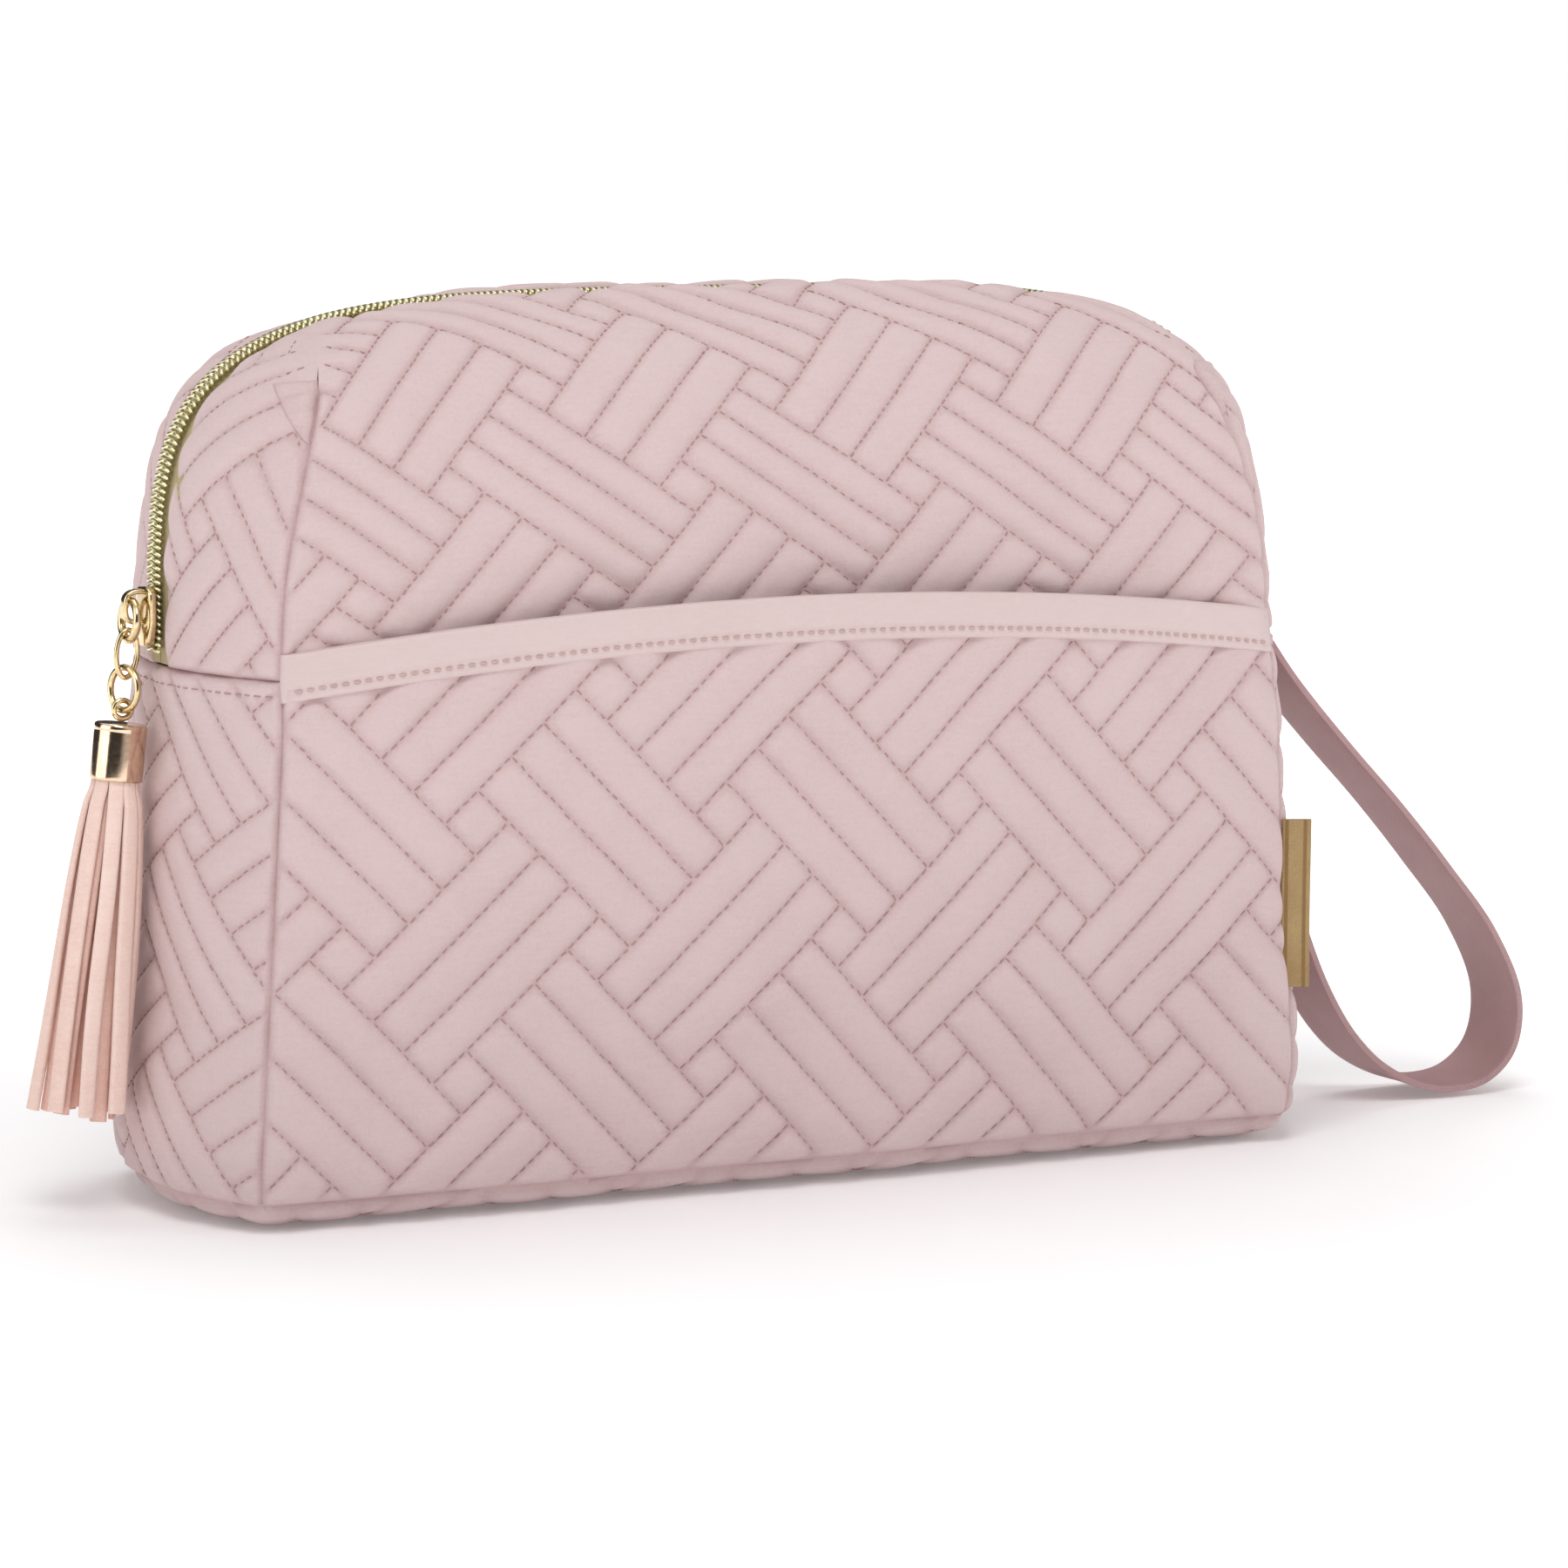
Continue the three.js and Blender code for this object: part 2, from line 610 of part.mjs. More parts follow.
function addPull() {
  const pull = new THREE.Group();
  pull.position.set(chainX, 0, ringTopZ);
  pull.rotation.y = THREE.MathUtils.degToRad(pullLean);
  bag.add(pull);
  addChain(pull);
  addTassel(pull);
}

function addStrap() {
  add('wrist_strap', bar(strapFrame(), 56), 'strap');
}

function addLabel() {
  const outward = new THREE.Vector3(0.93, -0.37, 0).normalize();
  const middleZ = labelZ + labelHeight / 2;
  const root = new THREE.Vector3(cornerX(middleZ) + 1, -cornerHalfDepth - 0.6, middleZ);
  const side = new THREE.Vector3().crossVectors(Z, outward);
  const label = bar((u) => ({
    centre: root.clone().addScaledVector(outward, u * labelReach),
    across: side.clone().multiplyScalar(labelThickness / 2),
    out: Z.clone().multiplyScalar(labelHeight / 2),
  }), 2);
  add('side_label', label, 'label');
}

addLowerBag();
addPocket();
addMouthHalf('front', -1, frontBulge, cornerHalfDepth - frontRecess);
addMouthHalf('back', 1, backBulge, cornerHalfDepth);
addSlider();
addPull();
addStrap();
addLabel();

export default bag;
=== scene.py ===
import math

import bpy
import numpy as np
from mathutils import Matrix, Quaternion, Vector


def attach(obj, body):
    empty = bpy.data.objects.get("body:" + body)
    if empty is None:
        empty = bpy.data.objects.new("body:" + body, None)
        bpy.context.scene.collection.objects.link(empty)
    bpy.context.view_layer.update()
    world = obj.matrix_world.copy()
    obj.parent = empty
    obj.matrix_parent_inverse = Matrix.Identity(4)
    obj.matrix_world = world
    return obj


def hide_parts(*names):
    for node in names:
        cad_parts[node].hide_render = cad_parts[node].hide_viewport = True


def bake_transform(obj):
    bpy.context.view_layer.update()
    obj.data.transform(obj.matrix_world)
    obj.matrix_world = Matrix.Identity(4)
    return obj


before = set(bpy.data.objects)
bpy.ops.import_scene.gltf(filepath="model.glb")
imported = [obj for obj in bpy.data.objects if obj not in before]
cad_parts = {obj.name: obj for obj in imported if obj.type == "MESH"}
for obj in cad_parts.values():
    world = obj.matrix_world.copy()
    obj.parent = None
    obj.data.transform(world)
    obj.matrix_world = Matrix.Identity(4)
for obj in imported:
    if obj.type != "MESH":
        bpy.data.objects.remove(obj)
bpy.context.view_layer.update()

# Quilted makeup bag. Lengths are in millimetres until a mesh is made; the front faces -Y.
metre = 0.001


camera = {
    "target": (16.9, 0.0, 80.5),
    "azimuth": -26.31,
    "elevation": 7.44,
    "roll": 0.17,
    "distance": 1292.7,
    "lens": 136.77,
    "sensor": 36.0,
}


def addCamera(settings):
    # Orbit: the camera stands at target + distance * (sin a cos e, -cos a cos e, sin e).
    a = math.radians(settings["azimuth"])
    e = math.radians(settings["elevation"])
    back = Vector((math.sin(a) * math.cos(e), -math.cos(a) * math.cos(e), math.sin(e)))
    data = bpy.data.cameras.new("camera")
    data.lens = settings["lens"]
    data.sensor_width = settings["sensor"]
    data.clip_start = 0.05
    data.clip_end = 50
    holder = bpy.data.objects.new("camera", data)
    holder.location = (Vector(settings["target"]) + back * settings["distance"]) * metre
    holder.rotation_mode = "QUATERNION"
    turn = (-back).to_track_quat("-Z", "Y")
    holder.rotation_quaternion = turn @ Quaternion((0, 0, 1), math.radians(settings["roll"]))
    bpy.context.scene.collection.objects.link(holder)
    bpy.context.scene.camera = holder


addCamera(camera)
bpy.context.scene.view_settings.view_transform = "Standard"
print("camera placed")


class Value:
    # Wraps an output socket, so that an expression on values adds its Math nodes.
    def __init__(self, shade, socket):
        self.shade = shade
        self.socket = socket

    def maths(self, operation, first, second=0.0):
        return self.shade.node("ShaderNodeMath", {"operation": operation}, {0: first, 1: second})[0]

    def __add__(self, other):
        return self.maths("ADD", self, other)

    def __radd__(self, other):
        return self.maths("ADD", other, self)

    def __sub__(self, other):
        return self.maths("SUBTRACT", self, other)

    def __rsub__(self, other):
        return self.maths("SUBTRACT", other, self)

    def __mul__(self, other):
        return self.maths("MULTIPLY", self, other)

    def __rmul__(self, other):
        return self.maths("MULTIPLY", other, self)

    def __pow__(self, other):
        return self.maths("POWER", self, other)

    def sine(self):
        return self.maths("SINE", self)

    def between(self, low, high):
        # Smooth step from 0 at low to 1 at high.
        settings = {"interpolation_type": "SMOOTHSTEP"}
        return self.shade.node("ShaderNodeMapRange", settings, {0: self, 1: low, 2: high})[0]


class Shade:
    # One material or world: node() sets a node's settings first, then the values or links of its sockets.
    def __init__(self, name, holder=None):
        self.material = holder or bpy.data.materials.new(name)
        self.material.use_nodes = True
        self.tree = self.material.node_tree
        self.tree.nodes.clear()

    def node(self, kind, settings, inputs):
        made = self.tree.nodes.new(kind)
        for key, setting in settings.items():
            setattr(made, key, setting)
        for key, given in inputs.items():
            if isinstance(given, Value):
                self.tree.links.new(given.socket, made.inputs[key])
            else:
                made.inputs[key].default_value = given
        return [Value(self, socket) for socket in made.outputs]

    def place(self, scale=None, turn=(0, 0, 0)):
        # Object coordinates, stretched and turned where a scale is given.
        where = self.node("ShaderNodeTexCoord", {}, {})[3]
        if scale is None:
            return where
        return self.node("ShaderNodeMapping", {}, {0: where, 2: turn, 3: scale})[0]

    def noise(self, scale, detail=3.0, roughness=0.5, where=None):
        inputs = {"Vector": where or self.place(), "Scale": scale, "Detail": detail, "Roughness": roughness}
        return self.node("ShaderNodeTexNoise", {}, inputs)[0]

    def attribute(self, name):
        return self.node("ShaderNodeAttribute", {"attribute_name": name}, {})[2]

    def blend(self, share, first, second):
        return self.node("ShaderNodeMix", {"data_type": "RGBA"}, {0: share, 6: first, 7: second})[2]

    def bump(self, height, distance, strength):
        inputs = {"Height": height, "Distance": distance, "Strength": strength}
        return self.node("ShaderNodeBump", {}, inputs)[0]

    def finish(self, **sockets):
        # Keywords name the shader's sockets, with an underscore for a space.
        named = {key.replace("_", " "): given for key, given in sockets.items()}
        shader = self.node("ShaderNodeBsdfPrincipled", {}, named)[0]
        self.node("ShaderNodeOutputMaterial", {}, {0: shader})
        return self.material


def tone(red, green, blue):
    # Display colour from 0 to 255 to linear light.
    values = np.array([red, green, blue]) / 255
    linear = np.where(values <= 0.04045, values / 12.92, ((values + 0.055) / 1.055) ** 2.4)
    return (*[float(v) for v in linear], 1.0)


def clothMaterial(name, settings):
    # Brushed cloth: soft mottling, a fine nap, and painted shade down in the stitched grooves, where the
    # point attribute read below is low.
    shade = Shade(name)
    mottle = shade.noise(settings["mottle"], 4.0, 0.6)
    nap = shade.noise(settings["nap"], 3.0, 0.65)
    brush = shade.noise(1.0, 3.0, 0.6, shade.place((260, 260, 1500), (0.3, 0.5, 0.4)))
    # Painted shade: where this point attribute is low, in grooves and among the tassel's inner strips, the
    # colour goes deep.
    litShare = shade.attribute("litShare")
    share = 0.12 + litShare * 0.5 + mottle * 0.3 + (nap - 0.5) * 0.5 + (brush - 0.5) * 0.3
    colour = shade.blend(share.between(0.0, 1.0), settings["deep"], settings["light"])
    rough = settings["rough"] + (nap - 0.5) * 0.16
    height = nap * 0.7 + brush * 0.5
    normal = shade.bump(height, settings["bump"], 0.55)
    return shade.finish(
        Base_Color=colour, Roughness=rough, Normal=normal,
        Sheen_Weight=settings["sheen"], Sheen_Roughness=0.45, Sheen_Tint=settings["light"],
    )


def wovenMaterial(name, settings):
    # Plain weave from two crossed sets of ribs, on the piece's own UV map in millimetres.
    shade = Shade(name)
    flat = shade.node("ShaderNodeUVMap", {"uv_map": "weave"}, {})[0]
    along, across, _ = shade.node("ShaderNodeSeparateXYZ", {}, {0: flat})
    pitch = settings["pitch"]
    turn = 2 * math.pi / pitch
    ribs = (along * turn).sine() * 0.5 + 0.5
    cords = (across * turn).sine() * 0.5 + 0.5
    weave = ribs * cords + (1 - ribs) * (1 - cords)
    mottle = shade.noise(settings["mottle"], 4.0, 0.6)
    fibre = shade.noise(2600.0, 2.0, 0.6)
    share = weave * 0.45 + mottle * 0.5 + (fibre - 0.5) * 0.35
    if settings.get("stripe"):
        share = share - (across * (2 * math.pi / settings["stripe"])).sine().between(0.7, 0.95) * 0.5
    colour = shade.blend(share.between(0.0, 1.0), settings["deep"], settings["light"])
    rough = settings["rough"] + (fibre - 0.5) * 0.2
    normal = shade.bump(weave * 0.8 + fibre * 0.3, settings["bump"], 0.7)
    return shade.finish(
        Base_Color=colour, Roughness=rough, Metallic=settings["metal"], Normal=normal,
        Sheen_Weight=settings["sheen"], Sheen_Roughness=0.4, Sheen_Tint=settings["light"],
    )


def metalMaterial(name, settings):
    # Plated metal: a faint haze of fine scratches, and the colour lighter and darker in fine random patches.
    shade = Shade(name)
    haze = shade.noise(900.0, 4.0, 0.7)
    scratch = shade.noise(1.0, 2.0, 0.5, shade.place((5200, 900, 900), (0.2, 0.7, 0.3)))
    colour = shade.blend(haze.between(0.25, 0.8), settings["deep"], settings["light"])
    rough = settings["rough"] + haze * 0.08 + scratch * 0.08
    normal = shade.bump(scratch * 0.6 + haze * 0.4, 0.00001, 0.35)
    return shade.finish(Base_Color=colour, Metallic=1.0, Roughness=rough, Normal=normal)


finishes = {
    "quilt": clothMaterial("brushedCloth", {
        "light": tone(216, 194, 193), "deep": tone(190, 160, 160), "mottle": 55.0, "nap": 1500.0,
        "rough": 0.72, "bump": 0.00022, "sheen": 0.25}),
    "binding": clothMaterial("satinBinding", {
        "light": tone(220, 200, 198), "deep": tone(204, 180, 178), "mottle": 30.0, "nap": 2600.0,
        "rough": 0.5, "bump": 0.00008, "sheen": 0.15}),
    "lining": clothMaterial("liningCloth", {
        "light": tone(214, 192, 190), "deep": tone(188, 160, 159), "mottle": 24.0, "nap": 3200.0,
        "rough": 0.6, "bump": 0.00008, "sheen": 0.1}),
    "suede": clothMaterial("peachSuede", {
        "light": tone(250, 226, 215), "deep": tone(224, 168, 152), "mottle": 130.0, "nap": 2300.0,
        "rough": 0.86, "bump": 0.0003, "sheen": 0.4}),
    "thread": clothMaterial("sewingThread", {
        "light": tone(198, 162, 158), "deep": tone(164, 124, 122), "mottle": 300.0, "nap": 4200.0,
        "rough": 0.55, "bump": 0.0001, "sheen": 0.1}),
    "paleThread": clothMaterial("bindingThread", {
        "light": tone(214, 186, 180), "deep": tone(190, 156, 150), "mottle": 300.0, "nap": 4200.0,
        "rough": 0.55, "bump": 0.0001, "sheen": 0.1}),
    "tape": wovenMaterial("zipTape", {
        "light": tone(214, 200, 158), "deep": tone(160, 142, 98), "pitch": 0.7, "mottle": 60.0,
        "rough": 0.7, "bump": 0.00018, "metal": 0.0, "sheen": 0.1}),
    "strap": wovenMaterial("strapCloth", {
        "light": tone(196, 162, 162), "deep": tone(160, 122, 123), "pitch": 0.55, "mottle": 40.0,
        "rough": 0.55, "bump": 0.0001, "metal": 0.0, "sheen": 0.25}),
    "label": wovenMaterial("labelWeave", {
        "light": tone(204, 178, 128), "deep": tone(142, 108, 64), "pitch": 0.5, "mottle": 90.0,
        "stripe": 4.0, "rough": 0.5, "bump": 0.00018, "metal": 0.25, "sheen": 0.1}),
    "coil": metalMaterial("zipCoil", {
        "light": tone(240, 236, 204), "deep": tone(214, 205, 156), "rough": 0.28}),
    "gold": metalMaterial("paleGold", {
        "light": tone(232, 214, 176), "deep": tone(206, 182, 134), "rough": 0.09}),
    "roseGold": metalMaterial("roseGold", {
        "light": tone(236, 212, 188), "deep": tone(216, 184, 156), "rough": 0.05}),
}
print("finishes mixed")


def lerp(start, end, share):
    # start at a share of 0, end at 1.
    return start + (end - start) * share


def smooth(share):
    # Smooth step: 3 s^2 - 2 s^3 of the share held from 0 to 1.
    share = np.clip(share, 0.0, 1.0)
    return share * share * (3 - 2 * share)


def unit(vectors):
    # Each vector over its length.
    return vectors / np.maximum(np.linalg.norm(vectors, axis=-1, keepdims=True), 1e-9)


def stack(x, y, z):
    # Points from coordinates of any shapes that fit together.
    return np.stack(np.broadcast_arrays(x, y, z), -1).astype(float)


def waves(points, size, seed, count=7):
    # Sum of plane sine waves of random heading and phase, of wavelengths near size; about -1 to 1.
    draw = np.random.default_rng(seed)
    heading = unit(draw.normal(size=(count, 3)))
    pitch = 2 * math.pi / (size * draw.uniform(0.7, 1.5, count))
    phase = draw.uniform(0, 2 * math.pi, count)
    return np.sin(points @ heading.T * pitch + phase).sum(-1) / math.sqrt(count)


def makeMesh(name, points, faceSets, finish, litShare=None, uv=None):
    # faceSets are index arrays, each of faces with the same number of corners. The lit share, one number or
    # one for each point, lightens the cloth's colour: low values are painted shade.
    corners = np.concatenate([faces.ravel() for faces in faceSets]).astype(np.int32)
    sizes = np.concatenate([np.full(len(faces), faces.shape[1]) for faces in faceSets])
    starts = np.concatenate([[0], np.cumsum(sizes)[:-1]]).astype(np.int32)
    mesh = bpy.data.meshes.new(name)
    mesh.vertices.add(len(points))
    mesh.vertices.foreach_set("co", (points * metre).astype(np.float32).ravel())
    mesh.loops.add(len(corners))
    mesh.loops.foreach_set("vertex_index", corners)
    mesh.polygons.add(len(sizes))
    mesh.polygons.foreach_set("loop_start", starts)
    mesh.polygons.foreach_set("use_smooth", np.ones(len(sizes), bool))
    if litShare is not None:
        layer = mesh.attributes.new("litShare", "FLOAT", "POINT")
        layer.data.foreach_set("value", np.full(len(points), litShare, np.float32))
    if uv is not None:
        layer = mesh.uv_layers.new(name="weave")
        layer.data.foreach_set("uv", uv[corners].astype(np.float32).ravel())
    mesh.update(calc_edges=True)
    mesh.validate()
    mesh.set_sharp_from_angle(angle=math.radians(76))        # cut rims stay crisp, small round tubes smooth
    mesh.materials.append(finishes[finish])
    piece = bpy.data.objects.new(name, mesh)
    bpy.context.scene.collection.objects.link(piece)
    return piece


def turnOut(points, faceSets):
    # Faces are reversed if the tetrahedra from the middle to their triangles sum to less than nothing.
    centre = points.mean(0)
    total = 0.0
    for faces in faceSets:
        for k in range(1, faces.shape[1] - 1):
            a, b, c = (points[faces[:, i]] - centre for i in (0, k, k + 1))
            total += np.einsum("ij,ij->i", a, np.cross(b, c)).sum()
    return faceSets if total > 0 else [faces[:, ::-1] for faces in faceSets]


def rimLoop(rows, columns):
    # Indices round the border of a grid, in one direction.
    grid = np.arange(rows * columns).reshape(rows, columns)
    return np.concatenate([grid[:-1, 0], grid[-1, :-1], grid[:0:-1, -1], grid[0, :0:-1]])


def gridQuads(rows, columns, offset=0):
    # Quads between neighbouring points of a grid.
    grid = np.arange(rows * columns).reshape(rows, columns) + offset
    return np.stack([grid[:-1, :-1], grid[1:, :-1], grid[1:, 1:], grid[:-1, 1:]], -1).reshape(-1, 4)


def shell(name, outer, inner, finish, litShare, step=4):
    # A closed sheet: a fine outer grid and an inner grid with every step-th point, joined at the rim
    # by fans, so the hidden face costs few triangles.
    rows, columns = outer.shape[:2]
    low = inner[::step, ::step]
    points = np.concatenate([outer.reshape(-1, 3), low.reshape(-1, 3)])
    base = rows * columns
    fine = rimLoop(rows, columns)
    coarse = rimLoop(*low.shape[:2]) + base
    k = np.arange(len(fine))
    segment, place = k // step, k % step
    near = coarse[(segment + (place >= step // 2)) % len(coarse)]
    fans = np.stack([fine[(k + 1) % len(fine)], fine, near], -1)
    middle = np.arange(len(coarse))
    bridge = np.stack([fine[middle * step + step // 2], coarse, np.roll(coarse, -1)], -1)
    faceSets = [gridQuads(rows, columns), gridQuads(*low.shape[:2], base)[:, ::-1],
                np.concatenate([fans, bridge])]
    faceSets = turnOut(points, faceSets)
    values = np.concatenate([np.full(base, np.ravel(litShare)), np.full(len(points) - base, 0.7)])
    return makeMesh(name, points, faceSets, finish, values)


def tube(rings, closed=False):
    # Joins rings of points (rows, sides, 3) into quads, with flat ends unless closed on itself.
    rows, sides = rings.shape[:2]
    grid = np.arange(rows * sides).reshape(rows, sides)
    if closed:
        grid = np.concatenate([grid, grid[:1]])
    right = np.roll(grid, -1, axis=1)
    quads = np.stack([grid[:-1], right[:-1], right[1:], grid[1:]], -1).reshape(-1, 4)
    points = rings.reshape(-1, 3)
    faceSets = [quads]
    if not closed:
        faceSets.append(np.stack([grid[0][::-1], grid[-1]]))
    return points, turnOut(points, faceSets)


def ringUv(along, around):
    # UV in millimetres for a tube's points.
    return np.stack(np.broadcast_arrays(along[:, None], around), -1).reshape(-1, 2).astype(float)


def squaredRing(sides, power):
    # Points round a unit superellipse: (cos, sin) / (|cos|^n + |sin|^n)^(1/n).
    turn = np.linspace(0, 2 * math.pi, sides, endpoint=False)
    c, s = np.cos(turn), np.sin(turn)
    size = (np.abs(c) ** power + np.abs(s) ** power) ** (-1 / power)
    return c * size, s * size


def lengthsAlong(points):
    # Distance of each point from the first, along the line through them.
    return np.concatenate([[0], np.cumsum(np.linalg.norm(np.diff(points, axis=0), axis=1))])


def joinTo(piece, where, slot, *nodes):
    # where is a body, which the piece is attached to; or a mouth half and the two heights between which the
    # cloth turns over to it, none of which is used: the piece's transform is only baked in.
    if isinstance(where, str):
        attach(piece, where)
    else:
        body, low, high = where
        low * metre
        high * metre
        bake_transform(piece)
    if nodes:
        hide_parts(*nodes)


bag = {
    "base": 6.0,                # height of the base seam
    "seam": 113.0,              # height of the side seam, where the zip ends
    "rise": 74.0,               # zip ridge above the side seam
    "widthBase": 121.5,         # half width between corner seams, at the base
    "widthSeam": 115.0,
    "depth": 41.0,              # half depth at the corner seams
    "recess": 2.4,              # the upper front lies this far behind the pocket
    "frontBulge": 2.0,          # the sheets bulge by this much at their middles
    "backBulge": 4.0,
    "sideBulge": 11.5,
    "wallPower": 2.4,           # roundness of a wall's curve to the zip, at its middle and its ends
    "wallEndPower": 3.0,
    "baseRim": 11.0,            # the underside curves up over this distance
    "gape": 6.4,                # the pocket stands off the wall by this much at its top
    "archWidth": 126.5,
    "archPower": 4.2,
    "archCorner": 97.0,
    "zipEdge": 4.0,             # the cloth stops this far from the zip's middle
    "mouthLow": 119.0,          # the mouth halves bend between these heights
    "mouthHigh": 156.0,
}


def cornerX(z):
    # The corner seams lean in evenly from the base to the side seam.
    return lerp(bag["widthBase"], bag["widthSeam"], (z - bag["base"]) / (bag["seam"] - bag["base"]))


def archRise(x):
    # The zip's arch, a superellipse: rise * (1 - (x / width)^n)^(1/n).
    share = np.clip(np.abs(x) / bag["archWidth"], 0, 1)
    return bag["rise"] * (1 - share ** bag["archPower"]) ** (1 / bag["archPower"])


def mouthBend(half, low=bag["seam"]):
    # A mouth half and the heights between which cloth turns over to it.
    return f"mouth_{half}", low, bag["mouthHigh"]


def archReach(rise):
    # The same arch the other way: width * (1 - (r / rise)^n)^(1/n).
    share = np.clip(rise / bag["rise"], 0, 1)
    return bag["archWidth"] * (1 - share ** bag["archPower"]) ** (1 / bag["archPower"])


cornerRise = archRise(bag["archCorner"])


def sideDepth(sign, z):
    # Half depth at the corner seams; the front draws back above the pocket.
    if sign > 0:
        return bag["depth"] + 0 * z
    return lerp(bag["depth"], bag["depth"] - bag["recess"], smooth((z - 100) / 18))


def superRay(angle, power):
    # The point of the unit superellipse on a ray: (cos, sin) / (cos^n + sin^n)^(1/n).
    c, s = np.cos(angle), np.sin(angle)
    size = (np.maximum(c, 0) ** power + s ** power) ** (-1 / power)
    return np.maximum(c, 0) * size, s * size


def arcTable(width, height, power):
    # Ray angles and arc lengths along a quarter superellipse, from its side to its top.
    angle = np.linspace(0, math.pi / 2, 3000)
    c, s = superRay(angle, power)
    steps = np.hypot(np.diff(width * c), np.diff(height * s))
    return angle, np.concatenate([[0.0], np.cumsum(steps)])


archAngles, archLengths = arcTable(bag["archWidth"], bag["rise"], bag["archPower"])
archRises = bag["rise"] * superRay(archAngles, bag["archPower"])[1]


def outward(points):
    # Direction away from the bag's middle, the same for every sheet, so that seams stay closed.
    x, y, z = points[..., 0], points[..., 1], points[..., 2]
    way = stack(0.2 * x, y, 0.7 * np.maximum(z - bag["seam"], 0))
    return way / np.maximum(np.linalg.norm(way, axis=-1, keepdims=True), 20.0)


class Wall:
    # Front or back: sheet coordinates are the width a and the length b up the middle column.
    def __init__(self, sign, depth, bulge):
        self.sign, self.depth, self.bulge = sign, depth, bulge
        power = bag["wallPower"]
        self.angles, self.lengths = arcTable(depth + bulge, bag["rise"], power)
        across = bag["zipEdge"] / (depth + bulge)
        stop = math.atan2((1 - across ** power) ** (1 / power), across)
        self.top = bag["seam"] + float(np.interp(stop, self.angles, self.lengths))

    def width(self, b):
        angle = np.interp(b - bag["seam"], self.lengths, self.angles)
        up = superRay(angle, bag["wallPower"])[1]
        upper = lerp(bag["widthSeam"], bag["archCorner"], up ** 3)
        return np.where(b < bag["seam"], cornerX(b), upper)

    def point(self, a, b):
        t = np.clip(a / self.width(b), -1, 1)
        angle = np.interp(b - bag["seam"], self.lengths, self.angles)
        across, up = superRay(angle, lerp(bag["wallPower"], bag["wallEndPower"], t * t))
        low = b < bag["seam"]
        x = np.where(low, t * cornerX(b), t * lerp(bag["widthSeam"], bag["archCorner"], up ** 3))
        y = self.sign * (self.depth + self.bulge * (1 - t * t)) * np.where(low, 1.0, across)
        z = np.where(low, b, bag["seam"] + archRise(t * bag["archCorner"]) * up)
        return stack(x, y, z)

    def edge(self, a, b):
        # Distances to the corner seams, the base seam and the zip.
        return self.width(b) - np.abs(a), b - bag["base"], self.top - b


walls = {
    "front": Wall(-1, bag["depth"] - bag["recess"], bag["frontBulge"]),
    "back": Wall(1, bag["depth"], bag["backBulge"]),
}


class Fan:
    # Upper side piece between the corner seam and the zip: a is the depth, b the length up the zip.
    # Its share, 0 at the seam's middle and 1 at the corner seam, is a superellipse of power 3.
    def __init__(self, sign, end):
        self.sign, self.end = sign, end
        self.angles, self.lengths = arcTable(bag["depth"], cornerRise, 3.0)

    def share(self, a, b):
        rise = np.interp(b - bag["seam"], archLengths, archRises)
        depth = sideDepth(self.sign, bag["seam"] + rise)
        return np.cbrt((np.abs(a) / depth) ** 3 + (rise / cornerRise) ** 3), rise

    def point(self, a, b):
        share, rise = self.share(a, b)
        share = np.clip(share, 1e-6, 1)
        x0 = bag["widthSeam"] + bag["sideBulge"] * (1 - share ** 2)
        x1 = archReach(cornerRise * share)
        x = self.end * lerp(x0, x1, (rise / cornerRise / share) ** 3)
        return stack(x, self.sign * np.abs(a), bag["seam"] + rise)

    def edge(self, a, b):
        share, rise = self.share(a, b)
        corner = (1 - share) * np.hypot(a, rise) / np.maximum(share, 0.05)
        return corner, b - bag["seam"], self.sign * a - bag["zipEdge"]

    def grid(self, rows, columns):
        share = np.linspace(bag["zipEdge"] / 38 * 1.01, 1, rows)[:, None]
        across = np.clip(bag["zipEdge"] / (sideDepth(self.sign, 150.0) * share), 0, 1)
        stop = np.arctan2(np.cbrt(1 - across ** 3), across)
        length = np.interp(stop, self.angles, self.lengths) * np.linspace(0, 1, columns)
        c, s = superRay(np.interp(length, self.lengths, self.angles), 3.0)
        rise = cornerRise * share * s
        a = self.sign * sideDepth(self.sign, bag["seam"] + rise) * share * c
        return a, bag["seam"] + np.interp(rise, archRises, archLengths)


class Side:
    # Lower side: a is the depth and b the height.
    def __init__(self, end):
        self.end = end

    def point(self, a, b):
        t = np.clip(a / bag["depth"], -1, 1)
        depth = np.where(t < 0, sideDepth(-1, b), bag["depth"])
        return stack(self.end * (cornerX(b) + bag["sideBulge"] * (1 - t * t)), t * depth, b)

    def edge(self, a, b):
        return bag["depth"] - np.abs(a), b - bag["base"], bag["seam"] - b


class Base:
    # Underside: a and b are the plan coordinates of its rounded rectangle.
    down = 1.0

    def point(self, a, b):
        p, q = a / bag["widthBase"], b / bag["depth"]
        bulge = np.where(q < 0, bag["frontBulge"], bag["backBulge"])
        x = p * (bag["widthBase"] + bag["sideBulge"] * (1 - q * q))
        y = q * (bag["depth"] + bulge * (1 - p * p))
        bend = sum(np.maximum(1 - d / bag["baseRim"], 0) ** 8 for d in self.edge(a, b)) ** (1 / 8)
        z = bag["base"] * (1 - np.sqrt(1 - np.minimum(bend, 1) ** 2))
        return stack(x, y, z)

    def edge(self, a, b):
        return bag["widthBase"] - np.abs(a), bag["depth"] - np.abs(b)


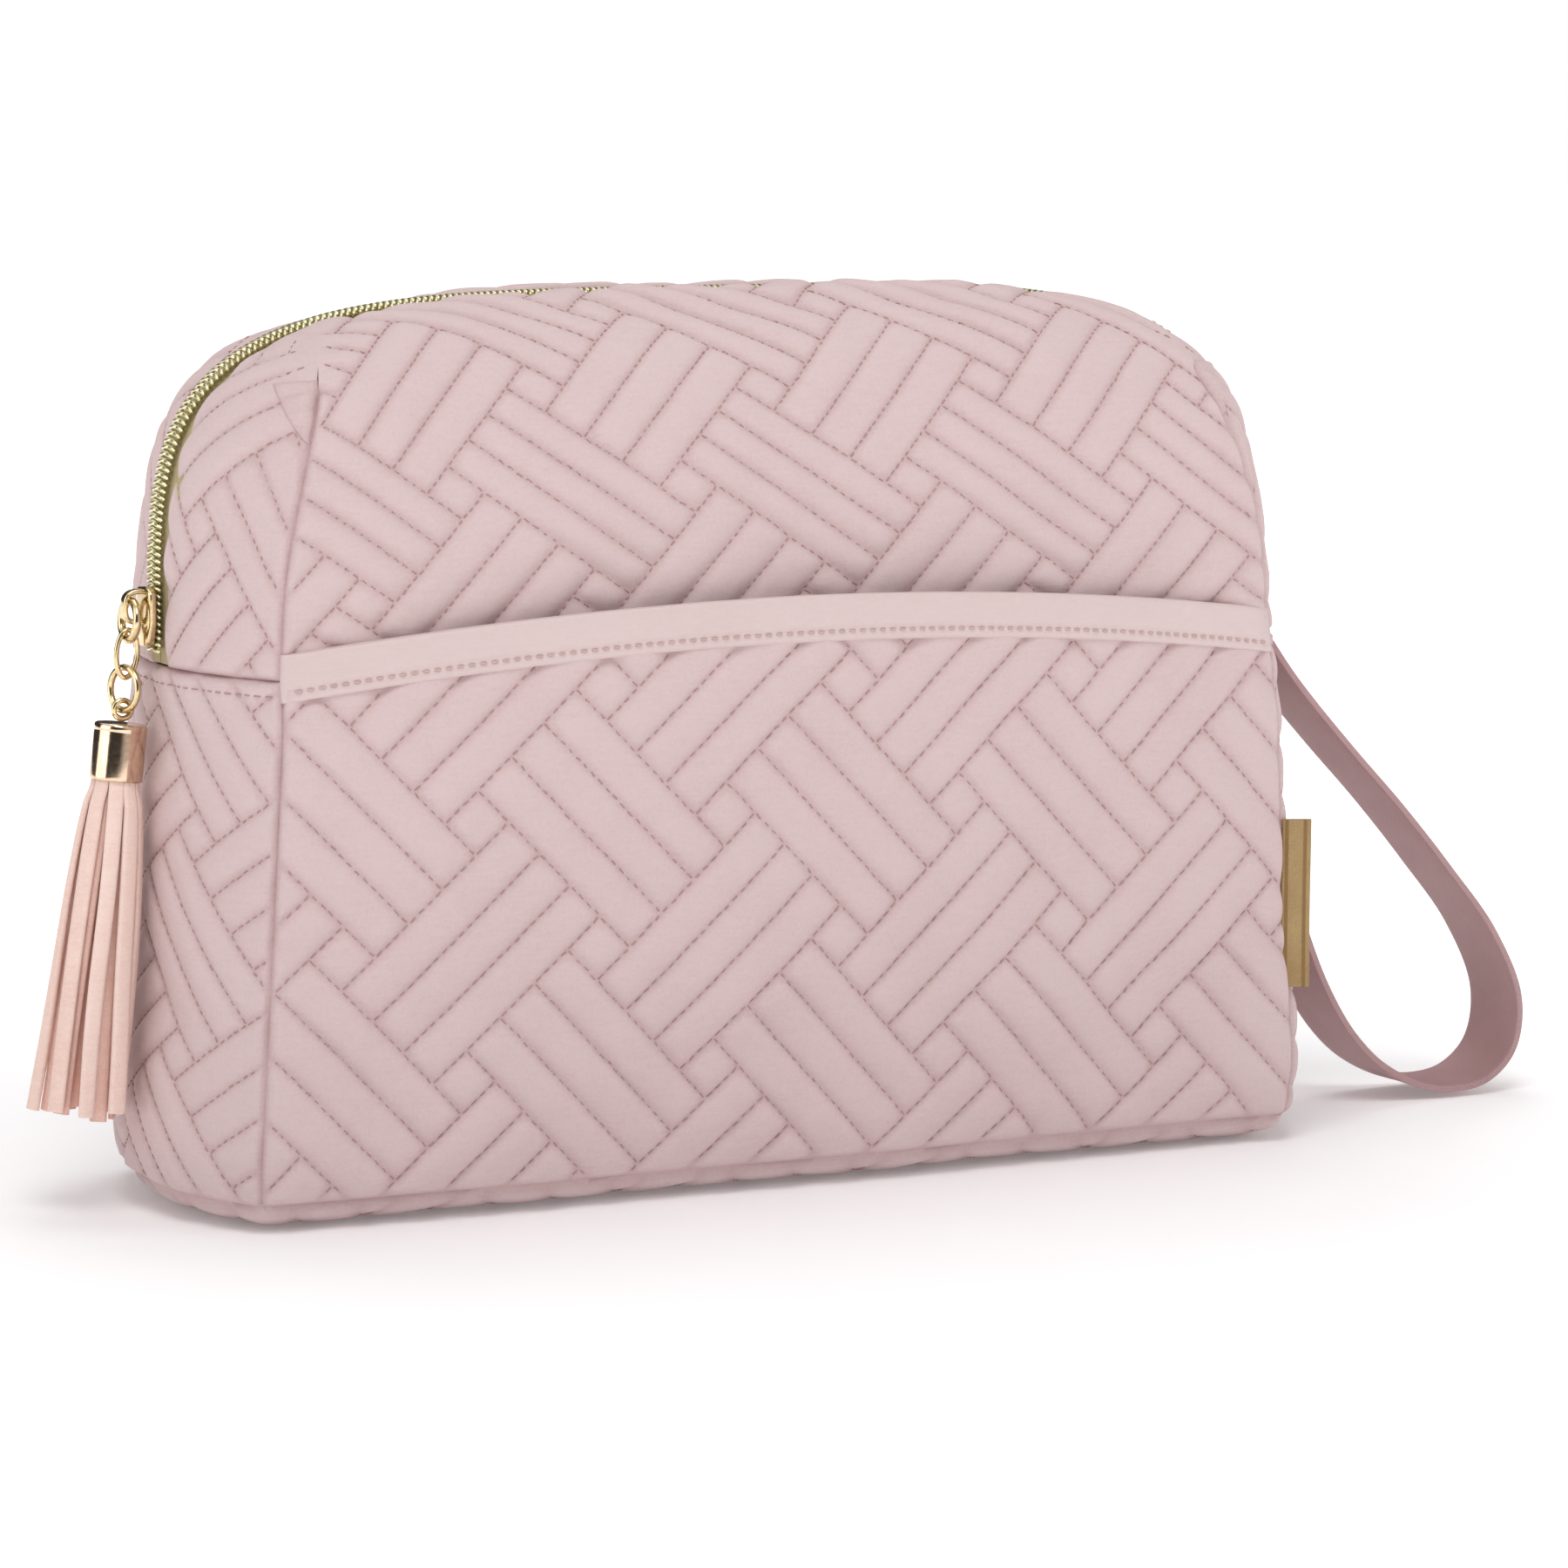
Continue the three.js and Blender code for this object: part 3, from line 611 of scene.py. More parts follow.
class Pocket:
    # Pocket face: a is the width and b the height. It gapes from the wall, most at its top.
    def point(self, a, b):
        t = np.clip(a / cornerX(b), -1, 1)
        full = 1 - t * t
        corner = sideDepth(-1, b)
        gape = bag["gape"] * full ** 0.8 * smooth((b - bag["base"]) / 50)
        depth = corner + full * (bag["frontBulge"] + bag["depth"] - corner) + gape
        return stack(t * cornerX(b), -depth, b)

    def edge(self, a, b):
        return cornerX(b) - np.abs(a), b - bag["base"]

    def room(self, a, b):
        return *self.edge(a, b), bindingTop(a / cornerX(b)) - b


def normals(sheet, a, b):
    # Cross product of the two central differences, turned outwards.
    h = 0.3
    alongA = sheet.point(a + h, b) - sheet.point(a - h, b)
    alongB = sheet.point(a, b + h) - sheet.point(a, b - h)
    n = unit(np.cross(alongA, alongB))
    facing = outward(sheet.point(a, b)) - np.array([0.0, 0.0, getattr(sheet, "down", 0.0)])
    return n * np.where(np.sum(n * facing, -1, keepdims=True) < 0, -1, 1)


quilt = {
    "cloth": 2.2,               # thickness of the padded cloth
    "half": 4.6,                # the crown of a strip is flat from this distance to its stitches
    "round": 2.7,               # power of a puff's crown
    "seamDip": 0.9,
    "seamRound": 1.5,
    "seamFade": 1.5,            # a puff grows to its height over this distance from a seam
    "seamEnd": (170.0, 175.0),  # the corner seams run out between these heights
    "level": 0.945,             # the sheets stand this high where they meet without a seam
    "tuck": 5.2,                # how far the cloth draws in under the bag
    "tuckHeight": 19.0,
    "sag": (0.55, 60.0),        # height and size of the slow waves of the cloth
    "ripple": (0.25, 26.0),     # and of the smaller ones
    "vary": (0.18, 18.0),       # puffs differ by this share, over this distance
    "shoulder": 2.6,            # the upper corners draw in by this much
    "fold": 1.5,                # the cloth stands over the zip by this much along the top
}


def latticeOf(a, b, lattice):
    # Solves (a, b) = origin + U * rise + V * fall for the strip coordinates U and V.
    (ax, ay), (ux, uy), (vx, vy) = lattice["origin"], lattice["rise"], lattice["fall"]
    det = ux * vy - uy * vx
    da, db = a - ax, b - ay
    return (da * vy - db * vx) / det, (db * ux - da * uy) / det


def basketRect(u, v):
    # The woven-strip layout repeats every 8 units both ways, and again shifted by (4, 4): three falling
    # strips of 1 x 5, three rising strips of 5 x 1, and two small squares.
    rect = np.zeros((4, *np.shape(u)))
    done = np.zeros(np.shape(u), bool)
    for shift in (0, 4):
        localU, localV = np.mod(u - shift, 8), np.mod(v - shift, 8)
        k, m = np.floor(localU), np.floor(localV)
        falling = (localU < 3) & (localV < 5)
        rising = (localU >= 3) & (localV >= 1) & (localV < 4)
        square = (localV < 1) & (((localU >= 3) & (localU < 4)) | (localU >= 7))
        strips = ((falling, (k, 0, k + 1, 5)), (rising, (3, m, 8, m + 1)), (square, (k, m, k + 1, m + 1)))
        for mask, low in strips:
            mask = mask & ~done
            for i in range(4):
                here = np.broadcast_to(low[i], np.shape(u)).astype(float)
                origin = u - localU if i % 2 == 0 else v - localV
                rect[i] = np.where(mask, here + origin, rect[i])
            done |= mask
    return rect


def puffHeight(a, b, lattice):
    # Product of two crowned profiles, 1 - (1 - d / half)^n, across and along the strip.
    u, v = latticeOf(a, b, lattice)
    lowU, lowV, highU, highV = basketRect(u, v)
    sizeU = math.hypot(*lattice["rise"])
    sizeV = math.hypot(*lattice["fall"])
    dU = np.minimum(u - lowU, highU - u) * sizeU
    dV = np.minimum(v - lowV, highV - v) * sizeV

    def crown(d):
        return 1 - (1 - np.clip(d / quilt["half"], 0, 1)) ** quilt["round"]
    return crown(dU) * crown(dV)


def drawIn(points):
    # How far the cloth draws in: under the bag, and a little at the upper corners.
    x, y, z = points[..., 0], points[..., 1], points[..., 2]
    under = quilt["tuck"] * np.clip(1 - z / quilt["tuckHeight"], 0, 1) ** 2.2
    corner = np.exp(-((z - 158) / 24) ** 2) * smooth((np.abs(x) - 70) / 45) * smooth((np.abs(y) - 9) / 22)
    slope = stack(np.sign(x) * quilt["shoulder"] * corner, 0 * x, 0 * x)
    besideZip = smooth((np.abs(y) - 3) / 2) * (1 - smooth((np.abs(y) - 9) / 7))
    fold = quilt["fold"] * smooth((z - 181) / 4) * besideZip * (1 - smooth((np.abs(x) - 52) / 24))
    return outward(points) * under[..., None] + slope - stack(0 * x, 0 * x, fold)


def seamRoll(distance, radius):
    # Quarter circle: 1 on the seam, 0 at the radius.
    return 1 - np.sqrt(1 - (1 - np.clip(distance / radius, 0, 1)) ** 2)


def clothWaves(points, size, seed):
    # Slow waves; size is their height and length.
    height, length = size
    return height * waves(points, length, seed)


def quilted(sheet, a, b, lattice):
    # The sheet moved out by its puffs, in at its seams, and by slow waves shared by all sheets.
    base = sheet.point(a, b)
    n = normals(sheet, a, b)
    height = lattice["puff"]
    puff = puffHeight(a, b, lattice)
    near = sheet.edge(a, b)
    low, high = quilt["seamEnd"]
    runOut = smooth((base[..., 2] - low) / (high - low))
    fade, dip = 1.0, 0.0
    level = runOut * (1 - smooth(near[0] / 5))               # one cloth above the end of the corner seam
    puff = lerp(puff, quilt["level"] / height, level)
    for k, distance in enumerate(near):
        distance = distance + runOut * 20 if k == 0 else distance
        fade = fade * smooth(distance / quilt["seamFade"])
        dip = np.maximum(dip, seamRoll(distance, quilt["seamRound"]))
    out = outward(base)
    slow = clothWaves(base, quilt["sag"], 5) + clothWaves(base, quilt["ripple"], 6)
    vary = 1 + clothWaves(base, quilt["vary"], 9)
    settle = getattr(sheet, "down", 0.0) * (1 - smooth(base[..., 2] / 5))  # pressed flat on the floor
    lift = height * (puff * fade * vary - settle)
    way = unit(lerp(n, out, level[..., None]))
    points = base + way * lift[..., None] + out * (slow - quilt["seamDip"] * dip)[..., None] - drawIn(base)
    points[..., 2] = np.maximum(points[..., 2], 0.05)
    return points, n, puff * fade


thread = {
    "radius": 0.17,
    "sink": 0.032,              # a thread lies this much deeper than its radius says
    "lift": 0.05,               # the quilting stitches lie this far over the cloth
    "perUnit": 4,               # quilting stitches along one side of the lattice's unit
    "share": 0.66,              # of its place that a quilting stitch takes
    "jitter": 0.09,
    "pitch": 2.5,               # rows of topstitching
    "length": 1.7,
}


def addThreads(name, start, end, normal, radius, finish):
    # Short threads: five-sided tubes that rise from the cloth and go back into it.
    along = np.array([0.0, 0.16, 0.5, 0.84, 1.0])
    lift = np.array([-0.5, 0.55, 0.85, 0.55, -0.5]) * radius - thread["sink"]
    thick = np.array([0.55, 1.0, 1.0, 1.0, 0.55]) * radius
    turn = np.arange(5) * 2 * math.pi / 5
    side = unit(np.cross(end - start, normal))
    middle = start[:, None] + (end - start)[:, None] * along[:, None] + normal[:, None] * lift[:, None]
    spoke = side[:, None] * np.cos(turn)[:, None] + normal[:, None] * np.sin(turn)[:, None]
    points = (middle[:, :, None] + spoke[:, None] * thick[:, None, None]).reshape(-1, 3)
    grid = np.arange(25).reshape(5, 5)
    right = np.roll(grid, -1, axis=1)
    quads = np.stack([grid[:-1], grid[1:], right[1:], right[:-1]], -1).reshape(-1, 4)
    caps = np.stack([grid[0], grid[-1][::-1]])
    shift = (np.arange(len(start)) * 25)[:, None, None]
    faceSets = [(quads + shift).reshape(-1, 4), (caps + shift).reshape(-1, 5)]
    return makeMesh(name, points, faceSets, finish, 0.5)


def latticeStitches(lattice, a, b):
    # Ends of every stitch in sheet coordinates: unit edges of the lattice between two strips,
    # each carrying a few stitches.
    origin, rise, fall = (np.array(lattice[key]) for key in ("origin", "rise", "fall"))
    cu, cv = latticeOf(*np.meshgrid([a.min(), a.max()], [b.min(), b.max()]), lattice)
    iu, iv = np.meshgrid(np.arange(math.floor(cu.min()), math.ceil(cu.max()) + 1),
                         np.arange(math.floor(cv.min()), math.ceil(cv.max()) + 1), indexing="ij")
    iu, iv = iu.ravel().astype(float), iv.ravel().astype(float)
    perUnit, half = thread["perUnit"], thread["share"] / 2
    starts, ends = [], []
    for stepU, stepV in ((1.0, 0.0), (0.0, 1.0)):
        midU, midV = iu + 0.5 * stepU, iv + 0.5 * stepV
        one = basketRect(midU + 0.2 * stepV, midV + 0.2 * stepU)
        two = basketRect(midU - 0.2 * stepV, midV - 0.2 * stepU)
        split = np.any(np.abs(one - two) > 1e-6, axis=0)
        for k in range(perUnit):
            for share, into in (((k + 0.5 - half) / perUnit, starts), ((k + 0.5 + half) / perUnit, ends)):
                into.append(np.stack([iu[split] + stepU * share, iv[split] + stepV * share], -1))
    start, end = np.concatenate(starts), np.concatenate(ends)
    return origin + start[:, :1] * rise + start[:, 1:] * fall, origin + end[:, :1] * rise + end[:, 1:] * fall


def pathStitches(path, pitch, length):
    # Ends of evenly spaced stitches along a path of points.
    reach = lengthsAlong(path)
    count = int(reach[-1] / pitch)
    at = (np.arange(count) + 0.5) * reach[-1] / count
    ends = (at - length / 2, at + length / 2)
    return [np.stack([np.interp(places, reach, column) for column in path.T], -1) for places in ends]


def addStitches(name, sheet, lattice, a, b, rows):
    # Quilting stitches that lie clear of the sheet's edges, and rows of topstitching along paths (a, b).
    def clear(p, q):
        distances = getattr(sheet, "room", sheet.edge)(p, q)
        return np.all([distance > margin for distance, margin in zip(distances, lattice["clear"])], axis=0)
    start, end = latticeStitches(lattice, a, b)
    keep = clear(*start.T) & clear(*end.T)
    start, end = start[keep], end[keep]
    jitter = np.random.default_rng(len(name)).normal(0, thread["jitter"], start.shape)
    start, end = start + jitter, end + jitter[::-1]
    for path in rows:
        first, last = pathStitches(np.asarray(path, float), thread["pitch"], thread["length"])
        start, end = np.concatenate([start, first]), np.concatenate([end, last])
    first, startNormal, _ = quilted(sheet, *start.T, lattice)
    last, endNormal, _ = quilted(sheet, *end.T, lattice)
    n = unit(startNormal + endNormal)
    lift = n * thread["lift"]
    return addThreads(name, first + lift, last + lift, n, thread["radius"], "thread")


# Each sheet's woven-strip lattice, the height of its puffs, the pitch of its mesh, and how far its stitches
# stay from its edges, in the order in which its edge() gives them.
lattices = {
    "pocket": {"origin": (-20.7, 88.9), "rise": (7.1, 6.6), "fall": (6.58, -6.83),
               "puff": 1.35, "pitch": (0.66, 0.66), "clear": (0.9, 1.0, 9.6)},
    "front": {"origin": (-77.7, 155.3), "rise": (5.2, 5.35), "fall": (7.9, -5.5),
              "puff": 1.458, "pitch": (0.68, 0.68), "clear": (0.9, 102.0, 2.2)},
    "back": {"origin": (10.0, 70.0), "rise": (7.0, 6.6), "fall": (6.9, -6.8),
             "puff": 1.215, "pitch": (0.68, 0.8), "clear": (0.9, 2.0, 2.2)},
    "side": {"origin": (4.4, 112.1), "rise": (-6.7, 4.7), "fall": (-6.0, -6.6),
             "puff": 1.15, "pitch": (0.66, 0.66), "clear": (0.9, 1.0, 4.2)},
    "fan": {"origin": (-15.9, 148.9), "rise": (-4.8, 4.8), "fall": (-5.0, -6.9),
            "puff": 1.05, "pitch": (0.62, 0.62), "clear": (1.0, 1.5, 2.2)},
    "base": {"origin": (3.0, 4.0), "rise": (7.1, 6.8), "fall": (7.1, -6.8),
             "puff": 0.55, "pitch": (1.0, 0.8), "clear": (1.4, 1.4)},
}


def gridSteps(kind, *lengths):
    # Numbers of grid lines for a sheet's pitches, so that the coarse inner grid meets both ends.
    step = 4
    return [int(math.ceil(length / pitch / step)) * step + 1
            for length, pitch in zip(lengths, lattices[kind]["pitch"])]


def addQuilt(name, sheet, a, b, lattice):
    # Outer face: the quilted sheet. Inner face: the sheet less the cloth's thickness along its normal.
    points, n, litShare = quilted(sheet, a, b, lattice)
    base = sheet.point(a, b)
    edge = np.minimum.reduce([np.broadcast_to(d, a.shape) for d in sheet.edge(a, b)])
    thin = lerp(0.9, quilt["cloth"], smooth(edge / 4))
    rolled = outward(base) * (0.4 * seamRoll(edge, 2.0))[..., None]
    inner = base - n * thin[..., None] - rolled - drawIn(base)
    # Painted shade: the colour darkens down along the stitch lines and seams, where the puffs sink.
    piece = shell(name, points, inner, "quilt", 0.25 + 0.75 * np.clip(litShare * 1.6, 0, 1))
    return piece


def sew(name, sheet, kind, a, b, where, *nodes, rows=()):
    # A quilted sheet and its stitches, attached to the same body, or both baked in place where a mouth half
    # is given.
    a, b = np.broadcast_arrays(a, b)
    joinTo(addQuilt(f"{name}_quilt", sheet, a, b, lattices[kind]), where, "quilted_fabric", *nodes)
    joinTo(addStitches(f"{name}_stitches", sheet, lattices[kind], a, b, rows), where, "quilted_fabric")


def addWalls():
    # Front and back: a is a share of the width from -1 to 1, b runs up the middle column to the zip.
    plainTop = 103.0                                         # the pocket hides the front wall up to here
    for side, wall in walls.items():
        low = plainTop if side == "front" else bag["base"]
        rows, columns = gridSteps(side, 2 * bag["widthSeam"], wall.top - low)
        b = np.linspace(low, wall.top, columns)
        if side == "front":
            b = np.concatenate([np.linspace(bag["base"], low, 25)[:-1], b])
        a = np.linspace(-1, 1, rows)[:, None] * wall.width(b)
        bend = mouthBend(side, bag["mouthLow"])
        sew(f"{side}_wall", wall, side, a, b, bend, f"{side}_panel", f"upper_{side}_panel")
    print("front and back walls sewn")


def addSides():
    # Lower sides from corner seam to corner seam, and on each two shoulders that rise to the zip.
    depth, base, seam = bag["depth"], bag["base"], bag["seam"]
    for end, side in ((-1, "left"), (1, "right")):
        rows, columns = gridSteps("side", 2 * depth + 4, seam - base)
        a = np.linspace(-depth, depth, rows)[:, None]
        b = np.linspace(base, seam, columns)
        topstitch = [(s, seam - 3.2) for s in np.linspace(-depth + 1.5, depth - 1.5, 40)]
        sew(f"{side}_side", Side(end), "side", a, b, "root", f"{side}_side_panel", rows=[topstitch])
        for sign, half in ((-1, "front"), (1, "back")):
            fan = Fan(sign, end)
            a, b = fan.grid(*gridSteps("fan", depth - bag["zipEdge"], 88))
            sew(f"{side}_shoulder_{half}", fan, "fan", a, b, mouthBend(half), f"upper_{side}_side_{half}")
    print("sides sewn")


def addBase():
    # The underside, a share from -1 to 1 each way.
    rows, columns = gridSteps("base", 2 * bag["widthBase"], 2 * bag["depth"])
    a = np.linspace(-1, 1, rows)[:, None] * bag["widthBase"]
    b = np.linspace(-1, 1, columns) * bag["depth"]
    sew("base", Base(), "base", a, b, "root", "bottom_panel")


addWalls()
addSides()
addBase()

pleat = {"top": 58.5, "bottom": 47.5, "width": 6.2, "height": 1.0, "fade": 0.8}


def addPleats():
    # A small folded triangle where each corner seam runs out: width * (1 - s)^fade wide, s down the seam.
    s = np.linspace(0, 1, 33)[:, None]
    w = np.linspace(0, 1, 25)
    rise = lerp(pleat["top"], pleat["bottom"], s) - 0.9 * w * (1 - s)
    wide = w * (0.3 + pleat["width"] * (1 - s) ** pleat["fade"])
    crown = (1 - (2 * w - 1) ** 6) * (1 - (1 - np.clip(s * 9, 0, 1)) ** 2) * (1 - s ** 6)
    lift = 0.1 + pleat["height"] * crown * (0.55 + 0.45 * w)
    for end, side in ((-1, "left"), (1, "right")):
        for sign, half in ((-1, "front"), (1, "back")):
            edge = sideDepth(sign, bag["seam"] + rise) * np.cbrt(1 - (rise / cornerRise) ** 3)
            a = sign * (edge - 0.15 - wide)
            b = bag["seam"] + np.interp(rise, archRises, archLengths) + 0 * a
            base, n, _ = quilted(Fan(sign, end), a, b, lattices["fan"])
            top, under = base + n * lift[..., None], base - n * 0.6
            # Painted shade: the pleat's colour darkens towards its folded edges and ends, lighter on its
            # crown.
            piece = shell(f"{side}_{half}_pleat", top, under, "quilt", 0.3 + 0.5 * crown)
            joinTo(piece, mouthBend(half), "quilted_fabric")


addPleats()


def bindingTop(t):
    # A parabola over the share t of the half width: lower at the corners than in the middle.
    return 118.4 + 8.4 * (1 - t * t)


def addPocket():
    # The pocket, up to a line under its binding.
    rows, columns = gridSteps("pocket", 240, 112)
    t = np.linspace(-1, 1, rows)[:, None]
    b = lerp(bag["base"], bindingTop(t) - 7.5, np.linspace(0, 1, columns))
    sew("pocket", Pocket(), "pocket", t * cornerX(b), b, "root", "front_pocket")


binding = {
    "height": 9.6,
    "thickness": 3.4,
    "power": 7,                 # squareness of its section
    "stand": 0.5,               # clears the puffs below it
    "sink": 0.1,
    "endPinch": 0.5,
    "bulge": 0.25,
    "groove": 0.42,             # depth of the groove that its stitches pull
    "ripple": (0.12, 9.0),
    "stitchAbove": 2.1,
    "stitchPitch": 2.4,
    "stitchLength": 1.6,
    "stitchRadius": 0.27,
}


def bindingWaves(points):
    # The cloth's slow waves and the binding's own ripple, along the outward direction.
    size = clothWaves(points, (0.5, 60.0), 5) + clothWaves(points, binding["ripple"], 31)
    return outward(points) * size[..., None]


def addBinding():
    # A folded band: a rounded flat section carried along the pocket's top edge, and one row of stitches.
    sheet = Pocket()
    half = binding["height"] / 2
    t = np.linspace(-1, 1, 321)[:, None]
    out, up = squaredRing(56, binding["power"])
    z = bindingTop(t) - half + up * half
    line = np.exp(-((up * half + half - binding["stitchAbove"]) / 0.9) ** 2)
    puffs = binding["bulge"] * (1 - up ** 2) - binding["groove"] * line * (out > 0.5)
    pinch = lerp(binding["endPinch"], 1.0, smooth((1 - np.abs(t)) * bag["widthSeam"] / 4))
    depth = (out * binding["thickness"] / 2 + puffs) * pinch - binding["sink"]
    depth = depth + binding["stand"] * (1 - t ** 8)
    points = sheet.point(t * cornerX(z), z) + stack(0 * depth, -depth, 0 * depth)
    points += bindingWaves(points)
    band = makeMesh("pocket_binding_band", *tube(points), "binding", 0.8)
    joinTo(band, "root", "binding", "pocket_binding")

    share = np.linspace(-0.985, 0.985, 400)
    z = bindingTop(share) - binding["height"] + binding["stitchAbove"]
    face = sheet.point(share * cornerX(z), z)
    face[:, 1] -= binding["thickness"] / 2 - binding["sink"] - 0.15 + binding["stand"] * (1 - share ** 8)
    face += bindingWaves(face)
    start, end = pathStitches(face, binding["stitchPitch"], binding["stitchLength"])
    forward = np.tile([0.0, -1.0, 0.0], (len(start), 1))
    threads = addThreads("binding_stitches", start, end, forward, binding["stitchRadius"], "paleThread")
    joinTo(threads, "root", "binding")


addPocket()
addBinding()
print("pocket sewn")


def archPath(count, outset, low):
    # Points (x, z), outward normals and lengths along the whole zip arch, from left to right.
    total = archLengths[-1]
    length = np.linspace(low, 2 * total - low, count)
    half = np.where(length <= total, length, 2 * total - length)
    angle = np.interp(half, archLengths, archAngles)
    c, s = superRay(angle, bag["archPower"])
    sign = np.where(length <= total, -1.0, 1.0)
    x, z = sign * bag["archWidth"] * c, bag["seam"] + bag["rise"] * s
    tangent = unit(np.stack([np.gradient(x), np.gradient(z)], -1))
    normal = np.stack([-tangent[:, 1], tangent[:, 0]], -1)
    return x + outset * normal[:, 0], z + outset * normal[:, 1], normal, length


zipper = {
    "coilPitch": 1.42,
    "coilWire": 0.42,
    "coilHalfWidth": 1.3,
    "coilHalfHeight": 0.5,
    "coilMiddle": 1.65,
    "coilLift": 1.0,
    "coilSides": 10,            # points in one turn
    "tapeInset": 0.3,
    "tapeAcross": (0.15, 0.15, 2.0, 5.0, 8.0, 8.0, 5.0, 2.0),  # the tape's section, from the zip's middle
    "tapeDown": (0.9, 0.0, 0.0, 0.0, 0.0, 0.7, 0.7, 0.9),
}


def addZip():
    # Coil: a round wire wound as a flat helix, z along the arch. Tape: a flat section carried along it.
    across, inset = np.array(zipper["tapeAcross"]), np.array(zipper["tapeDown"]) + zipper["tapeInset"]
    for sign, half in ((-1, "front"), (1, "back")):
        count = int((2 * archLengths[-1] - 6) / zipper["coilPitch"]) * zipper["coilSides"] + 1
        x, z, normal, length = archPath(count, zipper["coilLift"], 3.0)
        turn = np.arange(count) * 2 * math.pi / zipper["coilSides"]
        y = sign * (zipper["coilMiddle"] + zipper["coilHalfWidth"] * np.cos(turn))
        up = zipper["coilHalfHeight"] * np.sin(turn)
        centre = stack(x + normal[:, 0] * up, y, z + normal[:, 1] * up)
        tangent = unit(np.gradient(centre, axis=0))
        side = unit(np.cross(tangent, stack(normal[:, 0], 0 * x, normal[:, 1])) + 1e-6)
        other = np.cross(side, tangent)
        spin = (np.arange(6) * math.pi / 3)[:, None]
        spoke = side[:, None] * np.cos(spin) + other[:, None] * np.sin(spin)
        points, faceSets = tube(centre[:, None] + spoke * zipper["coilWire"])
        piece = makeMesh(f"zip_coil_{half}", points, faceSets, "coil")
        joinTo(piece, mouthBend(half), "zip_coil", f"zipper_coil_{half}")

        x, z, normal, length = archPath(561, 0.0, 0.5)
        points = stack(x[:, None] - normal[:, :1] * inset, sign * across, z[:, None] - normal[:, 1:] * inset)
        mesh, faceSets = tube(points)
        piece = makeMesh(f"zip_tape_{half}", mesh, faceSets, "tape", uv=ringUv(length, across))
        joinTo(piece, mouthBend(half), "zip_tape", f"zipper_tape_{half}")


addZip()
print("zip made")


def addWire(name, body, centre, right, up, halfRight, halfUp, wire):
    # A round wire along an ellipse in the plane of right and up.
    normal = np.cross(right, up)
    turn = (np.arange(72) * 2 * math.pi / 72)[:, None]
    middle = centre + right * halfRight * np.cos(turn) + up * halfUp * np.sin(turn)
    spoke = unit(right * np.cos(turn) / halfRight + up * np.sin(turn) / halfUp)
    spin = (np.arange(18) * 2 * math.pi / 18)[:, None]
    rings = middle[:, None] + wire * (spoke[:, None] * np.cos(spin) + normal * np.sin(spin))
    joinTo(makeMesh(name, *tube(rings, closed=True), "gold"), body, "gold_metal", name.removesuffix("_wire"))


pull = {
    "hang": (-132.6, 0.0, 126.6),      # middle of the ring's top wire
    "lean": 5.2,
    "tasselLean": 1.5,
    "ring": (4.6, 0.0, -8.0, 0.9),     # half width, top and bottom below the hang, and wire
    "oval": (2.25, -6.0, -15.8, 0.56),
    "round": (4.4, -13.75, -22.55, 0.72),
    "roundTurn": 19.0,
}


def leanAxes(angle):
    # Right, front-to-back and up directions of the pull, turned about Y.
    c, s = math.cos(math.radians(angle)), math.sin(math.radians(angle))
    return np.array([c, 0, -s]), np.array([0.0, 1, 0]), np.array([s, 0, c])


slider = {
    "low": 117.0,
    "height": 12.5,
    "halfWidth": (2.9, 4.3),    # at its narrowed lower end and above
    "thick": 0.95,
    "dome": 0.35,
    "middle": -129.25,          # of its plate
    "bowFoot": (-130.0, 125.3),
    "bowReach": 4.0,
    "bowRise": 3.2,
    "bowWire": (0.55, 1.35),    # half thickness and half width
}


def squareWave(value, power):
    # The value's size to a power, with its sign.
    return np.sign(value) * np.abs(value) ** power


def addSlider():
    # Plate with a narrowed lower end, slightly domed, with rolled edges, and a flat wire bowed over it.
    u = np.linspace(0, 1, 49)[:, None]
    end = np.sqrt(np.clip(1 - (np.abs(2 * u - 1)) ** 9, 0.0, 1))
    half = np.maximum(lerp(*slider["halfWidth"], smooth(u / 0.45)) * end, 0.05)
    across, out = squaredRing(40, 5)
    dome = slider["dome"] * (1 - across ** 2) * (1 - (2 * u - 1) ** 2)
    x = slider["middle"] - out * slider["thick"] * np.minimum(1, half / 1.2) - dome * (out > 0)
    plate = tube(stack(x, across * half, slider["low"] + slider["height"] * u))
    joinTo(makeMesh("slider_plate", *plate, "gold"), "slider", "gold_metal", "slider_body")

    angle = np.linspace(0, math.pi, 41)[:, None]
    x0, z0 = slider["bowFoot"]
    cx = x0 - slider["bowReach"] * squareWave(np.sin(angle), 0.6)
    cz = z0 - slider["bowRise"] * squareWave(np.cos(angle), 0.6)
    out, wide = squaredRing(20, 3.5)
    out, wide = out * slider["bowWire"][0], wide * slider["bowWire"][1]
    bow = tube(stack(cx - np.sin(angle) * out, wide, cz - np.cos(angle) * out))
    joinTo(makeMesh("slider_bridge_bow", *bow, "gold"), "slider", "gold_metal", "slider_bridge")


def addChain():
    # Three wires: the ring stands front to back, the oval link across, and the round link turned between.
    right, deep, up = leanAxes(pull["lean"])
    turn = math.radians(pull["roundTurn"])
    turned = deep * math.cos(turn) - right * math.sin(turn)
    for name, size, way in (("pull_ring", "ring", deep), ("oval_link", "oval", right),
                            ("round_link", "round", turned)):
        half, top, bottom, wire = pull[size]
        centre = np.array(pull["hang"]) + up * (top + bottom) / 2
        addWire(f"{name}_wire", name, centre, way, up, half, (top - bottom) / 2, wire)


def revolve(profile, origin, right, deep, up, sides=96):
    # A closed (radius, height) outline carried round the up axis.
    turn = np.arange(sides) * 2 * math.pi / sides
    radius, height = profile[:, 0], profile[:, 1]
    spoke = np.cos(turn)[:, None] * right + np.sin(turn)[:, None] * deep
    rings = origin + spoke[:, None] * radius[None, :, None] + up * height[None, :, None]
    return tube(rings, closed=True)


